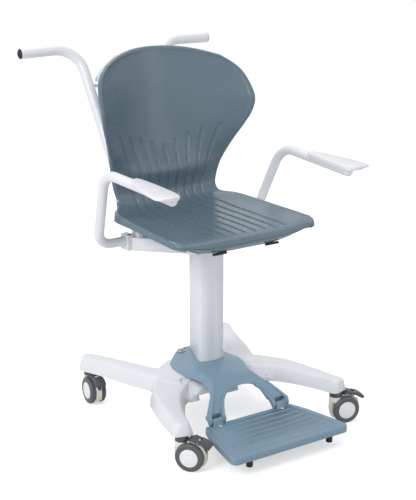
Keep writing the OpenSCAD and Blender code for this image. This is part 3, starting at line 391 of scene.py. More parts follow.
def new_tree(name, inputs):
    """A geometry tree with its named inputs; returns it with its group input node."""
    tree = bpy.data.node_groups.new(name, "GeometryNodeTree")
    tree.interface.new_socket("Geometry", in_out="INPUT", socket_type="NodeSocketGeometry")
    for label, kind in inputs:
        tree.interface.new_socket(label, in_out="INPUT", socket_type="NodeSocket" + kind)
    tree.interface.new_socket("Geometry", in_out="OUTPUT", socket_type="NodeSocketGeometry")
    return tree, add(tree, "NodeGroupInput")


def close_tree(tree, geometry, given):
    """End a geometry tree with real geometry in the material that it was given."""
    real = add(tree, "GeometryNodeRealizeInstances", {"Geometry": geometry})
    painted = add(tree, "GeometryNodeSetMaterial", {
        "Geometry": real, "Material": given.outputs["Material"],
    })
    add(tree, "NodeGroupOutput", {"Geometry": painted})


def tube_tree():
    """A round tube along a path of corners, each rounded to the path's own bend radius."""
    tree, given = new_tree("Bent tube", [("Tube radius", "Float"), ("Material", "Material")])
    path = add(tree, "GeometryNodeMeshToCurve", {"Mesh": given.outputs["Geometry"]})
    bend = add(tree, "GeometryNodeInputNamedAttribute", {"Name": "bend"}, data_type="FLOAT")
    rounded = add(tree, "GeometryNodeFilletCurve", {
        "Curve": path, "Radius": bend, "Count": 14,
    }, mode="POLY")
    even = add(tree, "GeometryNodeSetCurveRadius", {"Curve": rounded, "Radius": 1.0})
    section = add(tree, "GeometryNodeCurvePrimitiveCircle", {
        "Resolution": 48, "Radius": given.outputs["Tube radius"],
    })
    tube = add(tree, "GeometryNodeCurveToMesh", {
        "Curve": even, "Profile Curve": section,
        "Fill Caps": True,
    })
    close_tree(tree, tube, given)
    return tree


def bent_tube(tree, path, side, bends, radius, material):
    """A tube along a path of corners on one side, bent at each; path and bends in mm."""
    points = [at(side * x, y, z) for x, y, z in path]
    return grown(tree, points, [(i, i + 1) for i in range(len(points) - 1)],
                 {"Tube radius": radius, "Material": material},
                 {"bend": ("FLOAT", [bend / 1000 for bend in bends])})


def screw_tree():
    """Socket screws: a low cone with a six-sided hole, one at each point, facing its way."""
    tree, given = new_tree("Socket screws", [
        ("Head radius", "Float"), ("Head height", "Float"), ("Material", "Material")])
    head = add(tree, "GeometryNodeMeshCone", {
        "Vertices": 32, "Radius Top": 0.72, "Radius Bottom": 1.0, "Depth": 1.0,
    })
    hole = add(tree, "GeometryNodeMeshCylinder", {"Vertices": 6, "Radius": 0.42, "Depth": 1.2})
    sunk = add(tree, "GeometryNodeTransform", {"Geometry": hole, "Translation": (0, 0, 1.0)})
    cut = add(tree, "GeometryNodeMeshBoolean", {
        "Mesh 1": head, "Mesh 2": sunk,
    }, operation="DIFFERENCE")
    facing = add(tree, "GeometryNodeInputNamedAttribute", {"Name": "facing"},
                 data_type="FLOAT_VECTOR")
    turn = add(tree, "FunctionNodeAlignRotationToVector", {"Vector": facing}, axis="Z")
    size = add(tree, "ShaderNodeCombineXYZ", {
        "X": given.outputs["Head radius"], "Y": given.outputs["Head radius"],
        "Z": given.outputs["Head height"],
    })
    placed = add(tree, "GeometryNodeInstanceOnPoints", {
        "Points": given.outputs["Geometry"], "Instance": cut, "Rotation": turn, "Scale": size,
    })
    close_tree(tree, placed, given)
    return tree


def rib_tree():
    """Half-round ribs in a row, each a little wider than the one before it."""
    tree, given = new_tree("Tread ribs", [
        ("Count", "Int"), ("Pitch", "Vector"), ("Half width", "Float"), ("Bow", "Float"),
        ("Growth", "Float"), ("Rib radius", "Float"), ("Material", "Material")])
    row = add(tree, "GeometryNodeMeshLine", {
        "Count": given.outputs["Count"], "Offset": given.outputs["Pitch"],
    })
    at_start = add(tree, "GeometryNodeInputPosition")
    start = add(tree, "GeometryNodeSampleIndex", {
        "Geometry": given.outputs["Geometry"], "Value": at_start,
    }, data_type="FLOAT_VECTOR")
    moved = add(tree, "GeometryNodeTransform", {"Geometry": row, "Translation": start})
    left = add(tree, "ShaderNodeMath", {0: given.outputs["Half width"], 1: -1.0},
               operation="MULTIPLY")
    start_point = add(tree, "ShaderNodeCombineXYZ", {"X": left})
    end_point = add(tree, "ShaderNodeCombineXYZ", {"X": given.outputs["Half width"]})
    middle = add(tree, "ShaderNodeCombineXYZ", {"Y": given.outputs["Bow"]})
    arc = add(tree, "GeometryNodeCurveQuadraticBezier", {
        "Resolution": 24, "Start": start_point, "Middle": middle, "End": end_point,
    })
    section = add(tree, "GeometryNodeCurvePrimitiveCircle", {
        "Resolution": 16, "Radius": given.outputs["Rib radius"],
    })
    share = add(tree, "GeometryNodeSplineParameter")
    fade = add(tree, "ShaderNodeFloatCurve", {"Value": share})
    line = fade.mapping.curves[0]
    line.points[0].location = (0.0, 0.35)
    line.points[1].location = (1.0, 0.35)
    line.points.new(0.06, 1.0)
    line.points.new(0.94, 1.0)
    fade.mapping.update()
    tapered = add(tree, "GeometryNodeSetCurveRadius", {"Curve": arc, "Radius": fade})
    rib = add(tree, "GeometryNodeCurveToMesh", {
        "Curve": tapered, "Profile Curve": section,
        "Fill Caps": True,
    })
    index = add(tree, "GeometryNodeInputIndex")
    wider = add(tree, "ShaderNodeMath", {
        0: index, 1: given.outputs["Growth"], 2: 1.0,
    }, operation="MULTIPLY_ADD")
    size = add(tree, "ShaderNodeCombineXYZ", {"X": wider, "Y": 1.0, "Z": 1.0})
    ribs = add(tree, "GeometryNodeInstanceOnPoints", {
        "Points": moved, "Instance": rib, "Scale": size,
    })
    close_tree(tree, ribs, given)
    return tree


# Sizes that a user would change

class ShellSettings(bpy.types.PropertyGroup):
    """Sizes and colour of the seat shell"""

    colour: FloatVectorProperty(name="Colour", description="Colour of the seat shell", size=4,
                                subtype="COLOR", default=linear("#5f7380"))
    wall: FloatProperty(name="Wall", description="Wall of the shell, in mm", default=3.2)
    groove: FloatProperty(name="Groove depth", description="Depth of the grooves, in mm",
                          default=2.2)
    groove_half: FloatProperty(name="Groove half width",
                               description="Half the width of a groove, in mm", default=5.6)
    rim: FloatProperty(name="Rim", description="Width of the raised rim, in mm", default=8.5)
    roll: FloatProperty(name="Roll", description="Radius of the turned edge, in mm", default=2.4)


class TubeSettings(bpy.types.PropertyGroup):
    """Sizes of the bent tubes"""

    handle: FloatProperty(name="Handle tube", description="Radius of the handle's tube",
                          default=0.014, unit="LENGTH")
    arm: FloatProperty(name="Armrest tube", description="Radius of the armrests' tube",
                       default=0.013, unit="LENGTH")


class CastorSettings(bpy.types.PropertyGroup):
    """Sizes and colour of the wheels"""

    tread: FloatVectorProperty(name="Tread colour", description="Colour of the tyres", size=4,
                               subtype="COLOR", default=linear("#565b61"))
    wheel: FloatProperty(name="Wheel radius", description="Radius over the tread",
                         default=WHEEL_RADIUS, unit="LENGTH")
    cap: FloatProperty(name="Cap radius", description="Radius of the white cap", default=0.024,
                       unit="LENGTH")


class TreadSettings(bpy.types.PropertyGroup):
    """The ribs on the footrest"""

    ribs: IntProperty(name="Ribs", description="Ribs across the footrest", default=7)
    pitch: FloatProperty(name="Pitch", description="Distance between the ribs", default=0.024,
                         unit="LENGTH")


class StageSettings(bpy.types.PropertyGroup):
    """The camera and the light"""

    lens: FloatProperty(name="Lens", description="Focal length, in mm, for a 36 mm long side",
                        default=92.1)
    key: FloatProperty(name="Key light", description="Power of the key light", default=62.0,
                       unit="POWER")
    sky: FloatProperty(name="Sky", description="Level of the light from all round", default=0.62)


GROUPS = {"shell": ShellSettings, "tube": TubeSettings, "castor": CastorSettings,
          "tread": TreadSettings, "stage": StageSettings}


# Seat shell: stations from the top of the back to the front edge. Each holds the middle line
# y and z, then the edge x, y and z, with z counted from the seat's level
SEAT_LEVEL = 549
SHELL_ROWS = np.array([
    [262, 421, 176, 189, 391], [258, 401, 205, 167, 371], [252, 375, 224, 147, 349],
    [244, 341, 236, 123, 313], [235, 301, 239, 107, 279], [226, 256, 232, 111, 243],
    [217, 211, 217, 126, 207], [206, 166, 198, 149, 164], [190, 130, 184, 168, 126],
    [174, 96, 174, 181, 94], [179, 60, 166, 187, 60], [178, 32, 160, 183, 33],
    [158, 10, 168, 168, 18], [112, 2, 199, 129, 15], [40, 0, 210, 45, 13],
    [-50, 2, 214, -50, 13], [-130, 3, 218, -130, 13], [-180, 2, 218, -176, 12],
    [-205, -4, 205, -203, 5], [-208, -18, 190, -207, -3], [-187, -35, 172, -190, -12],
], float)


# Nine grooves: the middle one and four on each side of it. Their pitch on the back and on the
# seat and the widest place of a groove are shares of the half width
GROOVES_A_SIDE = 4
PITCH_ON_BACK = 0.184
PITCH_ON_SEAT = 0.142
GROOVE_REACH = 0.79
# Their tops stand in an arch, and their ends in line, given in stations about 42 mm apart
GROOVE_TOP = 7.22
GROOVE_TOP_RISE = 0.28
GROOVE_END = 17.35
STATION_PITCH = 42
# The slope at a groove's side, the height of the bead round the rim, how far the surface rolls
# off outside it, and where the bead's inner slope starts and how wide it is, in millimetres
GROOVE_RAMP = 2.0
BEAD_HEIGHT = 1.0
BEAD_FALL = 2.4
BEAD_START = 1.4
BEAD_RAMP = 2.2
# Station where the bead fades out on the front edge
BEAD_END = 18.6
# Grid columns: across each groove and between two, in pitches of the grooves, and then towards
# the edge, in shares of the half width
ACROSS_GROOVE = (-0.24, -0.2, -0.17, -0.14, -0.11, -0.08, 0, 0.08, 0.11, 0.14, 0.17, 0.2, 0.24)
BETWEEN_GROOVES = (0.35, 0.5, 0.65)
TOWARDS_EDGE = [0.8, 0.84, 0.88, 0.91, 0.93, 0.945, 0.955, 0.965, 0.975, 0.985, 0.993, 1.0]
# Grid rows from one station to the next
GRID_STEPS = 9


def ease(value):
    """A share from 0 to 1 with a soft start and end."""
    value = min(1.0, max(0.0, value))
    return value * value * (3 - 2 * value)


def mix(a, b, share):
    """The value at a share of the way from one to another."""
    return a + (b - a) * share


def shell_station(t):
    """The shell's row at a station between the drawn ones, on a smooth curve through them."""
    last = len(SHELL_ROWS) - 1
    k = min(last - 1, max(0, int(t)))
    f = t - k
    a, b, c, d = (SHELL_ROWS[i] for i in (max(0, k - 1), k, k + 1, min(last, k + 2)))
    return 0.5 * (2 * b + (c - a) * f + (2 * a - 5 * b + 4 * c - d) * f * f
                  + (3 * b - a - 3 * c + d) * f ** 3)


def shell_point(share, t):
    """A point of the shell's front surface at a share of the half width, in millimetres."""
    row = shell_station(t)
    on_seat = ease((t - 10.5) / 2.5)
    # Across the back the surface bends evenly, across the seat only towards its sides
    a = abs(share)
    return np.array([share * row[2], mix(row[0], row[3], a ** mix(1.8, 3, on_seat)),
                     SEAT_LEVEL + mix(row[1], row[4], a ** mix(2.35, 4, on_seat))])


def grid_normals(grid):
    """The direction that the surface faces at each point of a grid."""
    down = np.gradient(grid, axis=0)
    right = np.gradient(grid, axis=1)
    normal = np.cross(down, right)
    return normal / np.linalg.norm(normal, axis=2, keepdims=True)


def groove_depth(own, share, t, spread, half):
    """How deep the nearest groove is at a point of the shell, in millimetres."""
    nearest = round(share / spread)
    if abs(nearest) > GROOVES_A_SIDE or abs(share) >= GROOVE_REACH:
        return 0.0
    away = abs(share / spread - nearest) * spread * half
    above = max(0.0, GROOVE_TOP - abs(nearest) * GROOVE_TOP_RISE - t) * STATION_PITCH
    cut = ease((own.groove_half - math.hypot(away, above)) / GROOVE_RAMP)
    return cut * own.groove * ease((GROOVE_END - t) / 0.5)


def rim_depth(own, share, t, half, along):
    """How far the rim lies below the surface, in mm; its bead stands out by a negative depth."""
    edge = min((1 - abs(share)) * half - own.roll, along if t < 6 else 1e3)
    fall = BEAD_FALL * max(0.0, 1 - edge / (own.rim * 0.75)) ** 2
    fall -= BEAD_HEIGHT * ease((own.rim + BEAD_START - edge) / BEAD_RAMP)
    return fall * ease((BEAD_END - t) / 1.4)


def shell_grid():
    """The front surface as a grid of points with its grooves and rim, in millimetres."""
    own = settings("shell")
    last = len(SHELL_ROWS) - 1
    stations = np.linspace(0.11, last, last * GRID_STEPS + 1)
    grooves = range(-GROOVES_A_SIDE, GROOVES_A_SIDE + 1)
    columns = [k + step for k in grooves for step in ACROSS_GROOVE]
    columns += [k + step for k in grooves[:-1] for step in BETWEEN_GROOVES]
    columns.sort()
    grid, sunk = [], []
    along = 0.0
    before = None
    for t in stations:
        row = shell_station(t)
        middle, half = row[:2], row[2]
        along += 0 if before is None else float(np.linalg.norm(middle - before))
        before = middle
        spread = mix(PITCH_ON_BACK, PITCH_ON_SEAT, ease((t - 6) / 11))
        within = 1 - own.roll / half
        shares = [-share * within for share in TOWARDS_EDGE[::-1]]
        shares += [column * spread for column in columns]
        shares += [share * within for share in TOWARDS_EDGE]
        grid.append([shell_point(share, t) for share in shares])
        sunk.append([groove_depth(own, share, t, spread, half)
                     + rim_depth(own, share, t, half, along) for share in shares])
    grid = np.array(grid)
    return grid - np.array(sunk)[..., None] * grid_normals(grid), stations


def border(rows, count):
    """The border of a grid as (row, column) pairs, once round."""
    loop = [(0, j) for j in range(count)] + [(i, count - 1) for i in range(1, rows)]
    loop += [(rows - 1, j) for j in range(count - 2, -1, -1)]
    return loop + [(i, 0) for i in range(rows - 2, 0, -1)]


def evened(ring):
    """The values round a ring, each averaged with its neighbours."""
    return (np.roll(ring, 1, axis=0) + ring + np.roll(ring, -1, axis=0)) / 3


def outward_of(points, facing):
    """The direction that leads off the shell at each point of its border."""
    tangent = np.roll(points, -4, axis=0) - np.roll(points, 4, axis=0)
    for _ in range(4):
        facing = evened(facing)
        tangent = evened(tangent)
    outward = np.cross(tangent, facing)
    outward /= np.linalg.norm(outward, axis=1, keepdims=True)
    middle = points.mean(axis=0)
    return -outward if np.sum(outward * (points - middle)) < 0 else outward


def turned_edge(share, t):
    """How the edge is turned over: the direction and length of the turned-down strip, in mm."""
    # The seat's rear corners lie at stations 11.3 to 12.4, its front lip from 17 on
    on_seat = ease((t - 11.3) / 1.1)
    at_front = ease((t - 17) / 2.5)
    back = np.array([2.0, mix(5.0, 3.0, ease((t - 8) / 3)), 0.0])
    seat = np.array([3.0, 0.0, mix(-22.0, -13.0, ease((t - 12.6) / 2))])
    lip = np.array([1.0, 4.0, -5.0])
    edge = mix(mix(back, seat, on_seat), lip, at_front)
    if t > 19.9:
        edge = edge * mix(0.15, 1, abs(share) ** 6)
    return edge * np.array([share, 1, 1])


class SeatShell(bpy.types.Operator):
    """Mould the seat shell with its grooves, rim and turned edge"""

    bl_idname = "weighing_chair.seat_shell"
    bl_label = "Seat shell"

    def execute(self, context):
        grid, stations = shell_grid()
        rows, count = grid.shape[:2]
        shape = bmesh.new()
        verts = [[shape.verts.new(at(*p)) for p in row] for row in grid]
        for a, b in zip(verts, verts[1:]):
            for i in range(count - 1):
                shape.faces.new((a[i], b[i], b[i + 1], a[i + 1]))
        loop = border(rows, count)
        points = np.array([grid[i, j] for i, j in loop])
        normals = grid_normals(grid)
        outward = outward_of(points, np.array([normals[i, j] for i, j in loop]))
        half = np.abs(grid[:, -1, 0])
        fold = np.array([turned_edge(grid[i, j, 0] / half[i], stations[i]) for i, j in loop])
        length = np.linalg.norm(fold, axis=1, keepdims=True)
        fold = fold / length
        # Where the strip is short, its roll is smaller too
        radius = np.minimum(settings("shell").roll, length * 0.6)
        rings = []
        for angle in (math.radians(degrees) for degrees in (25, 50, 70, 90)):
            turn = outward * math.sin(angle) + fold * (1 - math.cos(angle))
            rings.append(points + radius * turn)
        for share in (0.5, 1):
            rings.append(points + radius * outward + fold * mix(radius, length, share))
        last = [verts[i][j] for i, j in loop]
        for ring in rings:
            fresh = [shape.verts.new(at(*p)) for p in ring]
            for i in range(len(fresh)):
                j = (i + 1) % len(fresh)
                shape.faces.new((last[i], last[j], fresh[j], fresh[i]))
            last = fresh
        bmesh.ops.recalc_face_normals(shape, faces=shape.faces)
        shape.faces.ensure_lookup_table()
        # A face in the middle of the back has to look forwards, to -Y
        front = shape.faces[(rows // 2) * (count - 1) + count // 2]
        if front.normal.y > 0:
            bmesh.ops.reverse_faces(shape, faces=shape.faces)
        mesh = bpy.data.meshes.new("seat_shell_moulding")
        shape.to_mesh(mesh)
        shape.free()
        mesh = settled("shell", mesh, [("SOLIDIFY", {
            "thickness": settings("shell").wall / 1000, "offset": -1.0, "use_rim": True})])
        new_piece("seat_shell_moulding", mesh, finish("polypropylene"), "chair",
                  ("seat_shell",), smooth=60)
        softened("seat_edge_strips", 1.5, finish("rubber"), "chair")
        softened("seat_spacers", 1.0, finish("rubber"), "chair")
        return {"FINISHED"}


# Corners of the tubes on the sitter's left, and the radius of the bend at each of them
HANDLE_PATH = [(130, 92, 517), (130, 214, 517), (130, 214, 603), (130, 442, 954),
               (302, 446, 951)]
HANDLE_BENDS = (0, 40, 60, 70, 0)
ARM_PATH = [(172.6, 130, 481), (252, 130, 481), (279, 38, 700), (266, -262, 690)]
ARM_BENDS = (0, 48, 76, 0)


def end_dome(radius):
    """The profile of the rounded plug in the front end of an armrest's tube, in metres."""
    sunk = -0.004
    arc = [(radius * math.cos(math.radians(a)), radius * 0.6 * math.sin(math.radians(a)))
           for a in range(0, 91, 15)]
    return [(0, sunk), (radius, sunk)] + arc[:-1] + [(0, arc[-1][1])]


class Tubes(bpy.types.Operator):
    """Bend the tubes of the push handle and the armrests"""

    bl_idname = "weighing_chair.tubes"
    bl_label = "Handle and armrest tubes"

    def execute(self, context):
        own = settings("tube")
        tree = tube_tree()
        material = finish("powder coat")
        for side, word in ((1, "left"), (-1, "right")):
            for stem, path, bends, radius, body in (
                    ("handle_tube", HANDLE_PATH, HANDLE_BENDS, own.handle, "chair"),
                    ("armrest", ARM_PATH, ARM_BENDS, own.arm, "arm_" + word)):
                shape = bmesh.new()
                shape.from_mesh(bent_tube(tree, path, side, bends, radius, material))
                if stem == "armrest":
                    before, end = (at(side * x, y, z) for x, y, z in path[-2:])
                    turned(shape, end_dome(radius), end, end - before, 48)
                new_piece(f"{stem}_{word}_bent", to_mesh(shape, stem), material, body,
                          (f"{stem}_{word}",))
        softened("handle_plugs", 0.6, finish("rubber"), "chair", smooth=60)
        softened("cross_bar", 0.5, material, "chair")
        softened("handle_clamps", 3.0, material, "chair")
        dress("arm_pivot_pins", finish("steel"))
        return {"FINISHED"}


# Stations of an arm pad: y, inner x, outer x, top level, depth at the tube, at the outer edge
PAD_ROWS = np.array([
    [-94, 264, 279, 711, 16, 16], [-98, 261, 282, 711.5, 17, 17], [-108, 258, 287, 711.5, 17, 16],
    [-124, 256, 293, 711, 16, 14], [-150, 254, 300, 710.3, 15, 11.5],
    [-182, 252, 308, 709.3, 15, 9], [-216, 251, 315, 708, 14, 7],
    [-250, 250, 320.5, 706.6, 14, 5.2], [-268, 252, 322.5, 705.6, 13, 4.2],
    [-278, 256, 321, 705, 11, 3.8], [-286, 265, 312, 704.6, 8, 3.6],
], float)


def pad_section(inner, outer, top, deep, thin):
    """An arm pad's section: a channel over the tube, and a wing that thins outwards."""
    shelf = min(40, (outer - inner) * 0.7)
    return [(inner + 3, top - deep), (inner + 0.9, top - deep + 0.9), (inner, top - deep + 3),
            (inner, top - 3), (inner + 0.9, top - 0.9), (inner + 3, top), (outer - 2.2, top),
            (outer - 0.6, top - 0.6), (outer, top - 2), (outer, top - thin + 1.6),
            (outer - 0.5, top - thin + 0.4), (outer - 1.8, top - thin),
            (inner + shelf, top - mix(thin, deep, 0.35)), (inner + shelf * 0.8, top - deep)]


class ArmPads(bpy.types.Operator):
    """Loft the wing-shaped pads of the armrests"""

    bl_idname = "weighing_chair.arm_pads"
    bl_label = "Arm pads"

    def execute(self, context):
        stations = np.arange(len(PAD_ROWS))
        fine = np.linspace(0, len(PAD_ROWS) - 1, 61)
        rows = np.array([np.interp(fine, stations, column) for column in PAD_ROWS.T]).T
        for _ in range(3):
            rows[1:-1] = (rows[:-2] + 2 * rows[1:-1] + rows[2:]) / 4
        for side, word in ((1, "left"), (-1, "right")):
            shape = bmesh.new()
            ring_strip(shape, [[at(side * x, row[0], z) for x, z in pad_section(*row[1:])]
                               for row in rows])
            mesh = settled("pad", to_mesh(shape, "pad"), [edge_round(1.0, 50, 2)])
            new_piece(f"arm_pad_{word}_wing", mesh, finish("abs"), "arm_" + word,
                      (f"arm_pad_{word}",), smooth=60)
        return {"FINISHED"}


class BaseCasting(bpy.types.Operator):
    """Round the edges of the base casting and finish what stands in its hub"""

    bl_idname = "weighing_chair.base_casting"
    bl_label = "Base casting"

    def execute(self, context):
        softened("base_casting", 1.6, finish("enamel"), "chair", angle=30,
                 smooth=32)
        dress("load_cell", finish("aluminium"))
        dress("load_cell_bolts", finish("zinc"))
        return {"FINISHED"}


CARRIER_TOP = 159
# Stations of the hood: y, top level, half width and level of the crease, half width and level
# of the lower edge, levels counted down from the carrier's top
HOOD = [
    (89, 1, 16, 3, 24, 21), (84, 0.5, 36, 3, 46, 22), (72, 0.5, 54, 5, 67, 22),
    (50, 0.5, 66, 8, 86, 23), (18, 0.5, 72, 9, 97, 23), (-20, 0.5, 76, 8, 101, 22),
    (-43, 1, 79, 7, 99, 23.5), (-60, 4, 79, 8, 91, 28), (-76, 8, 74, 10, 83, 29),
    (-98, 11, 63, 10.5, 79, 29), (-126, 17, 60, 15, 81, 33), (-144, 25, 70, 23, 87, 38),
]
# Stations round the arch and down an arm: arch edge, outer crease, outer lower edge
ARMS = [
    ((0, -159, 127), (77, -153, 129), (92, -158, 115)),
    ((30, -160, 126), (80, -159, 126), (98, -163, 110)),
    ((50, -166, 121), (85, -167, 120), (106, -171, 101)),
    ((62, -173, 111), (92, -177, 113), (114, -178, 92)),
    ((69, -185, 97), (104, -191, 100), (123, -187, 80)),
    ((75, -198, 79), (114, -202, 85), (126, -196, 69)),
]
# Half the outline of the low step that the column stands on, and its lower and upper level
STEP_SIDE = [(0, -46), (18, -43.7), (31.2, -40), (35.9, -37.6), (39, -33.8), (40, -28),
             (37, -12), (29, 8), (21, 28), (13, 50), (6, 71), (0, 72)]
STEP_LEVELS = (154, 159.3)
# The rolls along an arm's two sides, which run down into the ears of the hinge: their corners,
# the bends at these and, in metres, the radius of the roll
ROLLS = [[(84, -163, 120.5), (93, -175, 112), (106, -190, 98.5), (121, -204, 82), (122, -207, 68)],
         [(48, -166, 119), (62, -175, 109.5), (70, -187, 95), (79.5, -203, 80), (80.5, -207, 68)]]
ROLL_BENDS = (0, 30, 50, 16, 0)
ROLL_RADIUS = 0.0042
# Outlines in (y, z) of a hinge ear and of the web between the two ears of an arm, with the
# x that each runs between
EAR = [(-190, 72), (-190, 82), (-199, 85), (-205, 84), (-210, 79), (-212.6, 73), (-213.6, 66),
       (-211.6, 61.2), (-207, 59.4), (-202.4, 61.2), (-200.4, 66), (-197, 70)]
WEB = [(-186, 61), (-186, 84), (-194.5, 84), (-194.5, 61)]
HINGE = [(EAR, 76, 85), (EAR, 118, 127), (WEB, 84, 119)]
# Wall of the hood, in metres
HOOD_WALL = 0.0055
# The row of points between the middle or the arch and the crease, as a share of the way
INNER_ROW = 0.55
# Edges that stay hard where the sheet is smoothed, as (row of points, crease)
HARD_ROWS = ((3, 0.97), (1, 0.9))


def carrier_rows():
    """The carrier's rows of points from the middle, or from the arch, to the lower edge."""
    rows = []
    for y, top, crease_x, crease_z, low_x, low_z in HOOD:
        z = CARRIER_TOP
        rows.append([None, (0, y, z - top), (crease_x * INNER_ROW, y, z - top),
                     (crease_x, y, z - crease_z), (low_x, y, z - low_z)])
    for arch, crease, low in ARMS:
        part = tuple(mix(a, b, INNER_ROW) for a, b in zip(arch, crease))
        rows.append([(arch[0], arch[1] + 16, arch[2] - 7), arch, part, crease, low])
    return rows


class Carrier(bpy.types.Operator):
    """Form the blue carrier: its hood, arch, arms and hinge ears, and the bubble level"""

    bl_idname = "weighing_chair.carrier"
    bl_label = "Carrier"

    def execute(self, context):
        rows = carrier_rows()
        fork = len(HOOD)
        shape = bmesh.new()
        crease = shape.edges.layers.float.new("crease_edge")
        known = {}

        def vert(side, i, j):
            """The point of a row on one side; the two sides share the points in the middle."""
            shared = i <= fork and j <= 1
            key = (0 if shared else side, i, j)
            if key not in known:
                x, y, z = rows[i][j]
                known[key] = shape.verts.new(at(0 if shared else side * x, y, z))
            return known[key]

        for side in (1, -1):
            for i in range(len(rows) - 1):
                for j in range(4):
                    if j == 0 and i < fork:
                        continue
                    quad = [vert(side, i, j), vert(side, i, j + 1), vert(side, i + 1, j + 1),
                            vert(side, i + 1, j)]
                    shape.faces.new(list(dict.fromkeys(quad))[::side])
            for i in range(len(rows) - 1):
                for j, hard in HARD_ROWS:
                    if j == 1 and i < fork:
                        continue
                    edge = shape.edges.get((vert(side, i, j), vert(side, i + 1, j)))
                    edge[crease] = hard
        bmesh.ops.recalc_face_normals(shape, faces=shape.faces)
        shape.faces.ensure_lookup_table()
        if max(shape.faces, key=lambda f: f.calc_center_median().z).normal.z < 0:
            bmesh.ops.reverse_faces(shape, faces=shape.faces)
        sheet = bpy.data.meshes.new("carrier_hood")
        shape.to_mesh(sheet)
        shape.free()
        sheet = settled("hood", sheet, [
            ("SOLIDIFY", {"thickness": HOOD_WALL, "offset": -1.0, "use_rim": True,
                          "edge_crease_rim": 0.6}),
            ("SUBSURF", {"levels": 3, "render_levels": 3})])
        body = bmesh.new()
        for side in (1, -1):
            for outline, x0, x1 in HINGE:
                prism(body, outline, side, x0, x1)
        step = STEP_SIDE + [(-x, y) for x, y in STEP_SIDE[-2:0:-1]]
        ring_strip(body, [[at(x, y, z) for x, y in step] for z in STEP_LEVELS])
        block = settled("ears", to_mesh(body, "ears"), [edge_round(1.6, 40)])
        whole = bmesh.new()
        whole.from_mesh(sheet)
        whole.from_mesh(block)
        material = finish("blue enamel")
        tree = tube_tree()
        for side in (1, -1):
            for path in ROLLS:
                whole.from_mesh(bent_tube(tree, path, side, ROLL_BENDS, ROLL_RADIUS, material))
        mesh = bpy.data.meshes.new("hub_carrier_hood")
        whole.to_mesh(mesh)
        whole.free()
        new_piece("hub_carrier_hood", mesh, material, "chair",
                  ("hub_carrier",), smooth=60)
        softened("level_ring", 0.5, finish("zinc"), "chair")
        dress("level_vial", finish("vial"))
        return {"FINISHED"}


class Column(bpy.types.Operator):
    """Finish the column, its top cap and the seat frame"""

    bl_idname = "weighing_chair.column"
    bl_label = "Column and seat frame"

    def execute(self, context):
        softened("column", 1.6, finish("powder coat"), "chair", angle=14,
                 smooth=40)
        softened("column_collar", 0.5, finish("abs"), "chair", smooth=40)
        softened("seat_frame", 2.5, finish("powder coat"), "chair")
        return {"FINISHED"}


# The button row: the middle of the sloping face in the drawing, the face's own directions, and
# the row's pitch and its distance below that middle in metres
FACE_MIDDLE = (0, 342, 922)
FACE_UP = Vector((0, -0.848, 0.530)).normalized()
FACE_OUT = Vector((0, 0.530, 0.848)).normalized()
BUTTONS = ("power", "zero", "hold", "bmi", "unit")
BUTTON_PITCH = 0.030
BUTTONS_BELOW = 0.026
# A button's (radius, height): its collar under the face, its stem and its dished top
BUTTON = [(0, -5.6), (2.5, -5.6), (2.5, -4.5), (8.7, -4.5), (8.7, -3.3), (7.4, -3.3),
          (7.4, 0.9), (7.2, 1.5), (6.7, 1.9), (5.6, 1.9), (4.5, 1.5), (0, 1.3)]


class Display(bpy.types.Operator):
    """Finish the display housing with its window, board, buttons and battery"""

    bl_idname = "weighing_chair.display"
    bl_label = "Display"

    def execute(self, context):
        for node, width in (("display_back", 2.0), ("display_bezel", 1.2), ("battery_door", 0.8)):
            softened(node, width, finish("abs"), "chair")
        for node, look in (("display_window", "window"), ("lcd_panel", "lcd"),
                           ("circuit_board", "board"), ("battery_pack", "sleeve")):
            dress(node, finish(look))
        middle = at(*FACE_MIDDLE)
        for i, name in enumerate(BUTTONS):
            shape = bmesh.new()
            centre = middle + Vector((-(i - 2) * BUTTON_PITCH, 0, 0)) - FACE_UP * BUTTONS_BELOW
            turned(shape, metres(BUTTON), centre, FACE_OUT, 48)
            green = name == "power"
            new_piece(f"{name}_button_cap", to_mesh(shape, name),
                      finish("green keypad" if green else "keypad"), f"{name}_button",
                      (f"{name}_button",))
        return {"FINISHED"}


def rounded_outline(corners, steps=6):
    """Points round a polygon of (x, y, radius) corners, with each corner rounded."""
    points = []
    for i, (x, y, radius) in enumerate(corners):
        here = Vector((x, y))
        a = (Vector(corners[i - 1][:2]) - here).normalized()
        b = (Vector(corners[(i + 1) % len(corners)][:2]) - here).normalized()
        if radius < 0.5:
            points.append(here)
            continue
        half = math.acos(max(-1, min(1, a.dot(b)))) / 2
        reach = radius / math.tan(half)
        centre = here + (a + b).normalized() * radius / math.sin(half)
        first, last = here + a * reach - centre, here + b * reach - centre
        angle = math.atan2(first.x * last.y - first.y * last.x, first.dot(last))
        for k in range(steps + 1):
            turn = angle * k / steps
            c, s = math.cos(turn), math.sin(turn)
            points.append(centre + Vector((first.x * c - first.y * s, first.x * s + first.y * c)))
    return points


def inset(points, distance):
    """The outline moved inwards by a distance; it runs clockwise seen from above."""
    moved = []
    for i, p in enumerate(points):
        a = (p - points[i - 1]).normalized()
        b = (points[(i + 1) % len(points)] - p).normalized()
        na, nb = Vector((a.y, -a.x)), Vector((b.y, -b.x))
        n = (na + nb).normalized()
        moved.append(p + n * distance / max(0.4, n.dot(na)))
    return moved


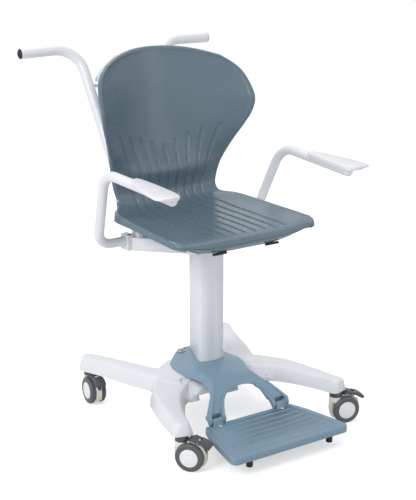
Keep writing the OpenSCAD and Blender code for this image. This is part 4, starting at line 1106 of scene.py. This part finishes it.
# The footrest: half its outline as (x, y, radius), its section as (inset, z) from the underside
# over the rim to the tread, and the outline in (y, z) of a hinge tab with its sides
PLATE = [(136, -203, 8), (155, -256, 0), (166, -305, 0), (176, -352, 0), (184, -398, 15)]
PAN = [(7, 50), (6.5, 39.5), (5.5, 38.4), (3, 38), (1, 38.5), (0, 40), (0, 53.6), (0.4, 55.9),
       (1.6, 57.4), (3.4, 58), (6, 58), (7.4, 57.7), (8.6, 57.0), (10, 56.7), (14, 56.6)]
TAB = [(-200.8, 70), (-203.6, 74.6), (-207.4, 76), (-211.2, 74.4), (-213.6, 70), (-214.6, 61),
       (-216.5, 57.6), (-216.5, 52), (-203, 52), (-200.4, 62)]
TAB_SIDES = (85.6, 117.4)
# The first rib of the tread, and its half width, bow, growth from rib to rib, slope and radius
RIB_START = (0, -230, 55.5)
RIB = {"Half width": 0.118, "Bow": -0.004, "Growth": 0.034, "Rib radius": 0.0030}
RIB_SLOPE = -0.0001


class Footrest(bpy.types.Operator):
    """Form the footrest: a pan with a thick rim, hinge tabs and ribs across its tread"""

    bl_idname = "weighing_chair.footrest"
    bl_label = "Footrest"

    def execute(self, context):
        own = settings("tread")
        material = finish("blue nylon")
        outline = rounded_outline(PLATE + [(-x, y, radius) for x, y, radius in PLATE[::-1]])
        shape = bmesh.new()
        ring_strip(shape, [[at(p.x, p.y, z) for p in inset(outline, d)] for d, z in PAN])
        for side in (1, -1):
            prism(shape, TAB, side, *TAB_SIDES)
        mesh = settled("pan", to_mesh(shape, "pan"), [edge_round(1.2, 50)])
        new_piece("footrest_pan", mesh, material, "footrest",
                  ("footrest",), smooth=55)
        ribs = grown(rib_tree(), [at(*RIB_START)], [], RIB | {
            "Count": own.ribs, "Pitch": (0, -own.pitch, RIB_SLOPE), "Material": material})
        new_piece("footrest_tread_ribs", ribs, material, "footrest")
        softened("footrest_feet", 1.2, finish("rubber"), "footrest")
        softened("footrest_screws", 0.5, finish("cap"), "footrest")
        dress("footrest_pins", finish("steel"))
        return {"FINISHED"}


# The stems in (x, y) and the way that each castor trails, in degrees from +X
CASTORS = [("front_left", 246, -263, -15), ("front_right", -246, -263, -52),
           ("rear_left", 227, 241, -75), ("rear_right", -227, 241, -96)]
# In metres: how far the wheels trail, and half the gap between the two
TRAIL = 0.025
HALF_GAP = 0.0077
# The brake latch at the top of the wheels: its distance from their centre, its turn and its size
LATCH_OUT = 0.0405
LATCH_TURN = math.radians(-24)
LATCH_SIZE = (0.006, 0.0085, 0.013, 1)


def tyre_profile(wheel, cap):
    """A tyre's (radius, depth) from its inner face outwards, in millimetres."""
    return [(cap, 0.4), (wheel - 5, 0.2), (wheel - 2, 0.9), (wheel - 0.5, 2.6), (wheel, 5),
            (wheel, 9), (wheel - 0.4, 11.2), (wheel - 1.6, 13.4), (wheel - 3.6, 14.8),
            (wheel - 6, 15.3), (wheel - 9, 15.2), (cap + 0.6, 14.6), (cap, 14), (cap, 0.4)]


def cap_profile(cap):
    """A hub with its cap as (radius, depth), from its inner face outwards, in millimetres."""
    return [(4.2, 0.3), (cap - 0.2, 0.3), (cap - 0.2, 14.4), (cap - 0.7, 15.1),
            (cap - 1.6, 15.3), (cap - 2.6, 15.1), (cap - 3.2, 14.9), (cap - 5, 15.5),
            (cap * 0.5, 16), (0, 16.2)]


class Castors(bpy.types.Operator):
    """Turn the wheels of the castors and finish their bodies, pedals and stems"""

    bl_idname = "weighing_chair.castors"
    bl_label = "Castors"

    def execute(self, context):
        own = settings("castor")
        wheel, cap = own.wheel * 1000, own.cap * 1000
        tyre, disc = metres(tyre_profile(wheel, cap)), metres(cap_profile(cap))
        for word, x, y, heading in CASTORS:
            turn = Matrix.Rotation(math.radians(heading), 4, "Z")
            out = turn @ Vector((0, 1, 0))
            centre = at(x, y, wheel) + turn @ Vector((TRAIL, 0, 0))
            tyres, hubs = bmesh.new(), bmesh.new()
            for side in (1, -1):
                start = centre + out * side * HALF_GAP
                turned(tyres, tyre, start, out * side, 72)
                turned(hubs, disc, start, out * side, 64)
            new_piece(f"tyres_{word}_tread", to_mesh(tyres, "tyres"), finish("tyre"),
                      "wheels_" + word, (f"tyres_{word}",), smooth=35)
            new_piece(f"hubs_{word}_caps", to_mesh(hubs, "hubs"), finish("cap"),
                      "wheels_" + word, (f"hubs_{word}",), smooth=35)
            softened("fork_" + word, 1.2, finish("cream nylon"), "swivel_" + word)
            softened("pedal_" + word, 1.1, finish("dark nylon"), "brake_" + word)
            dress("axle_" + word, finish("steel"))
            latch = bmesh.new()
            place = Matrix.Translation(centre) @ turn @ Matrix.Rotation(LATCH_TURN, 4, "Y")
            place = place @ Matrix.Translation((LATCH_OUT, 0, 0)) @ Matrix.Diagonal(LATCH_SIZE)
            bmesh.ops.create_cube(latch, size=1.0, matrix=place)
            mesh = settled("latch", to_mesh(latch, "latch"), [edge_round(1.0, 40)])
            new_piece(f"brake_latch_{word}", mesh, finish("dark nylon"), "swivel_" + word)
        softened("caster_stems", 1.6, finish("collar"), "chair")
        return {"FINISHED"}


# Screws that show: body, head radius and height in mm, and each one's place and facing
SCREWS = {
    "frame_screws": ("chair", 3.6, 1.6, [
        ((side * x, y, z), (0, 0, 1))
        for x, y, z in ((161, 122, 498), (88, 72, 498.8), (88, -108, 498.8))
        for side in (-1, 1)]),
    "display_screws": ("chair", 3.0, 1.4, [
        ((-95.4, 383, 868), (-1, 0, 0)), ((95.4, 383, 868), (1, 0, 0)),
        ((-60, 379, 847.6), (0, 0, -1)), ((60, 379, 847.6), (0, 0, -1))]),
    "level_screws": ("chair", 2.4, 1.2, [
        ((-20, 74, 159.2), (0, 0, 1)), ((-46, 54, 159.2), (0, 0, 1))]),
}
for word, side in (("left", 1), ("right", -1)):
    SCREWS[f"arm_{word}_screws"] = ("arm_" + word, 3.2, 1.5, [
        ((side * x, y, z), (0, 0, -1)) for x, y, z in ((303, -236, 699.5), (291, -160, 697))])


class Screws(bpy.types.Operator):
    """Set the screws that show on the frame, the display, the level and the armrests"""

    bl_idname = "weighing_chair.screws"
    bl_label = "Screws"

    def execute(self, context):
        tree = screw_tree()
        material = finish("black screw")
        for name, (body, radius, height, screws) in SCREWS.items():
            mesh = grown(tree, [at(*place) for place, _ in screws], [], {
                "Head radius": radius / 1000, "Head height": height / 1000,
                "Material": material,
            }, {"facing": ("FLOAT_VECTOR", [facing for _, facing in screws])})
            new_piece(name, mesh, material, body, smooth=30)
        return {"FINISHED"}


# The camera: its place in the drawing, and the direction from the chair back to it
CAMERA_PLACE = (-1810, -2707, 1453)
CAMERA_BACK = Vector((-0.5335, -0.7939, 0.2919)).normalized()
# The lamps: place, width and power in watts, where None is the user's. They point at a place
# under the seat, 0.45 m above the floor
LAMPS = (("Key", (-3.1, -0.9, 2.5), 1.3, None), ("Fill", (2.2, -3.0, 1.4), 2.4, 13.0),
         ("Top", (0.6, 1.4, 3.2), 2.0, 26.0))
LAMP_AIM = Vector((0, 0, 0.45))
# Half the width of the floor, the tones of its paper, and its own light in the camera's view
FLOOR_HALF = 12
PAPER = ((0.80, 0.80, 0.80, 1), (0.83, 0.83, 0.83, 1))
FLOOR_GLOW = 0.52
WHITE = (1, 1, 1, 1)


def set_up(thing, place, back):
    """Put a camera or a lamp into the scene, looking against a direction."""
    thing.location = place
    thing.rotation_mode = "QUATERNION"
    thing.rotation_quaternion = back.to_track_quat("Z", "Y")
    bpy.context.scene.collection.objects.link(thing)


def paper_sweep():
    """A floor of matt paper that the camera sees a little brighter than it lights the chair."""
    material, tree = blank_material("Paper sweep")
    ray = add(tree, "ShaderNodeLightPath")
    paper = add(tree, "ShaderNodeTexNoise", {"Scale": 30.0})
    pale = add(tree, "ShaderNodeMix", {
        "Factor": paper, 6: PAPER[0], 7: PAPER[1],
    }, data_type="RGBA")
    matt = add(tree, "ShaderNodeBsdfDiffuse", {"Color": pale.outputs[2]})
    level = add(tree, "ShaderNodeMath", {0: ray.outputs["Is Camera Ray"], 1: FLOOR_GLOW},
                operation="MULTIPLY")
    glow = add(tree, "ShaderNodeEmission", {"Color": WHITE, "Strength": level})
    both = add(tree, "ShaderNodeAddShader", {0: matt, 1: glow})
    add(tree, "ShaderNodeOutputMaterial", {"Surface": both})
    return material


def studio_world(dim):
    """A white sky that is seen, mirrored and looked through at full strength, and lights less."""
    world = bpy.data.worlds.new("Studio")
    world.use_nodes = True
    tree = world.node_tree
    tree.nodes.clear()
    ray = add(tree, "ShaderNodeLightPath")
    seen = add(tree, "ShaderNodeMath", {
        0: ray.outputs["Is Camera Ray"], 1: ray.outputs["Is Glossy Ray"],
    }, operation="MAXIMUM")
    seen = add(tree, "ShaderNodeMath", {
        0: seen, 1: ray.outputs["Is Transmission Ray"],
    }, operation="MAXIMUM")
    strength = add(tree, "ShaderNodeMapRange", {"Value": seen, "To Min": dim, "To Max": 1.0})
    sky = add(tree, "ShaderNodeBackground", {"Color": WHITE, "Strength": strength})
    add(tree, "ShaderNodeOutputWorld", {"Surface": sky})
    return world


class Stage(bpy.types.Operator):
    """Set the camera, the pale floor and the lights"""

    bl_idname = "weighing_chair.stage"
    bl_label = "Stage"

    def execute(self, context):
        own = settings("stage")
        scene = context.scene
        data = bpy.data.cameras.new("Camera")
        data.lens = own.lens
        data.sensor_width = 36
        data.clip_end = 50
        camera = bpy.data.objects.new("Camera", data)
        set_up(camera, at(*CAMERA_PLACE), CAMERA_BACK)
        scene.camera = camera
        for name, place, size, power in LAMPS:
            lamp = bpy.data.lights.new(name, "AREA")
            lamp.size = size
            lamp.energy = power or own.key
            holder = bpy.data.objects.new(name, lamp)
            set_up(holder, place, Vector(place) - LAMP_AIM)
        floor = bpy.data.meshes.new("floor")
        corners = ((-1, -1), (1, -1), (1, 1), (-1, 1))
        floor.from_pydata([(FLOOR_HALF * x, FLOOR_HALF * y, 0) for x, y in corners], [],
                          [(0, 1, 2, 3)])
        floor.materials.append(paper_sweep())
        ground = bpy.data.objects.new("floor", floor)
        scene.collection.objects.link(ground)
        scene.world = studio_world(own.sky)
        scene.view_settings.view_transform = "Standard"
        return {"FINISHED"}


OPERATORS = (Stage, SeatShell, Tubes, ArmPads, BaseCasting, Carrier, Column, Display, Footrest,
             Castors, Screws)


class ChairPanel(bpy.types.Panel):
    """The pieces of the weighing chair"""

    bl_idname = "VIEW3D_PT_weighing_chair"
    bl_label = "Weighing chair"
    bl_space_type = "VIEW_3D"
    bl_region_type = "UI"
    bl_category = "Weighing chair"

    def draw(self, context):
        for group in GROUPS:
            box = self.layout.box()
            own = settings(group)
            for key in own.__annotations__:
                box.prop(own, key)
        for operator in OPERATORS:
            self.layout.operator(operator.bl_idname)


def register():
    """Add the settings, the operators and the panel to Blender."""
    for group, kind in GROUPS.items():
        bpy.utils.register_class(kind)
        setattr(bpy.types.Scene, "weighing_chair_" + group, PointerProperty(type=kind))
    for kind in OPERATORS:
        bpy.utils.register_class(kind)
    bpy.utils.register_class(ChairPanel)


def unregister():
    """Take them out again, the last one first."""
    bpy.utils.unregister_class(ChairPanel)
    for kind in reversed(OPERATORS):
        bpy.utils.unregister_class(kind)
    for group, kind in GROUPS.items():
        delattr(bpy.types.Scene, "weighing_chair_" + group)
        bpy.utils.unregister_class(kind)


def main():
    """Register the add-on and press each of its buttons once."""
    register()
    for operator in OPERATORS:
        group, name = operator.bl_idname.split(".")
        getattr(getattr(bpy.ops, group), name)()


if __name__ == "__main__":
    main()
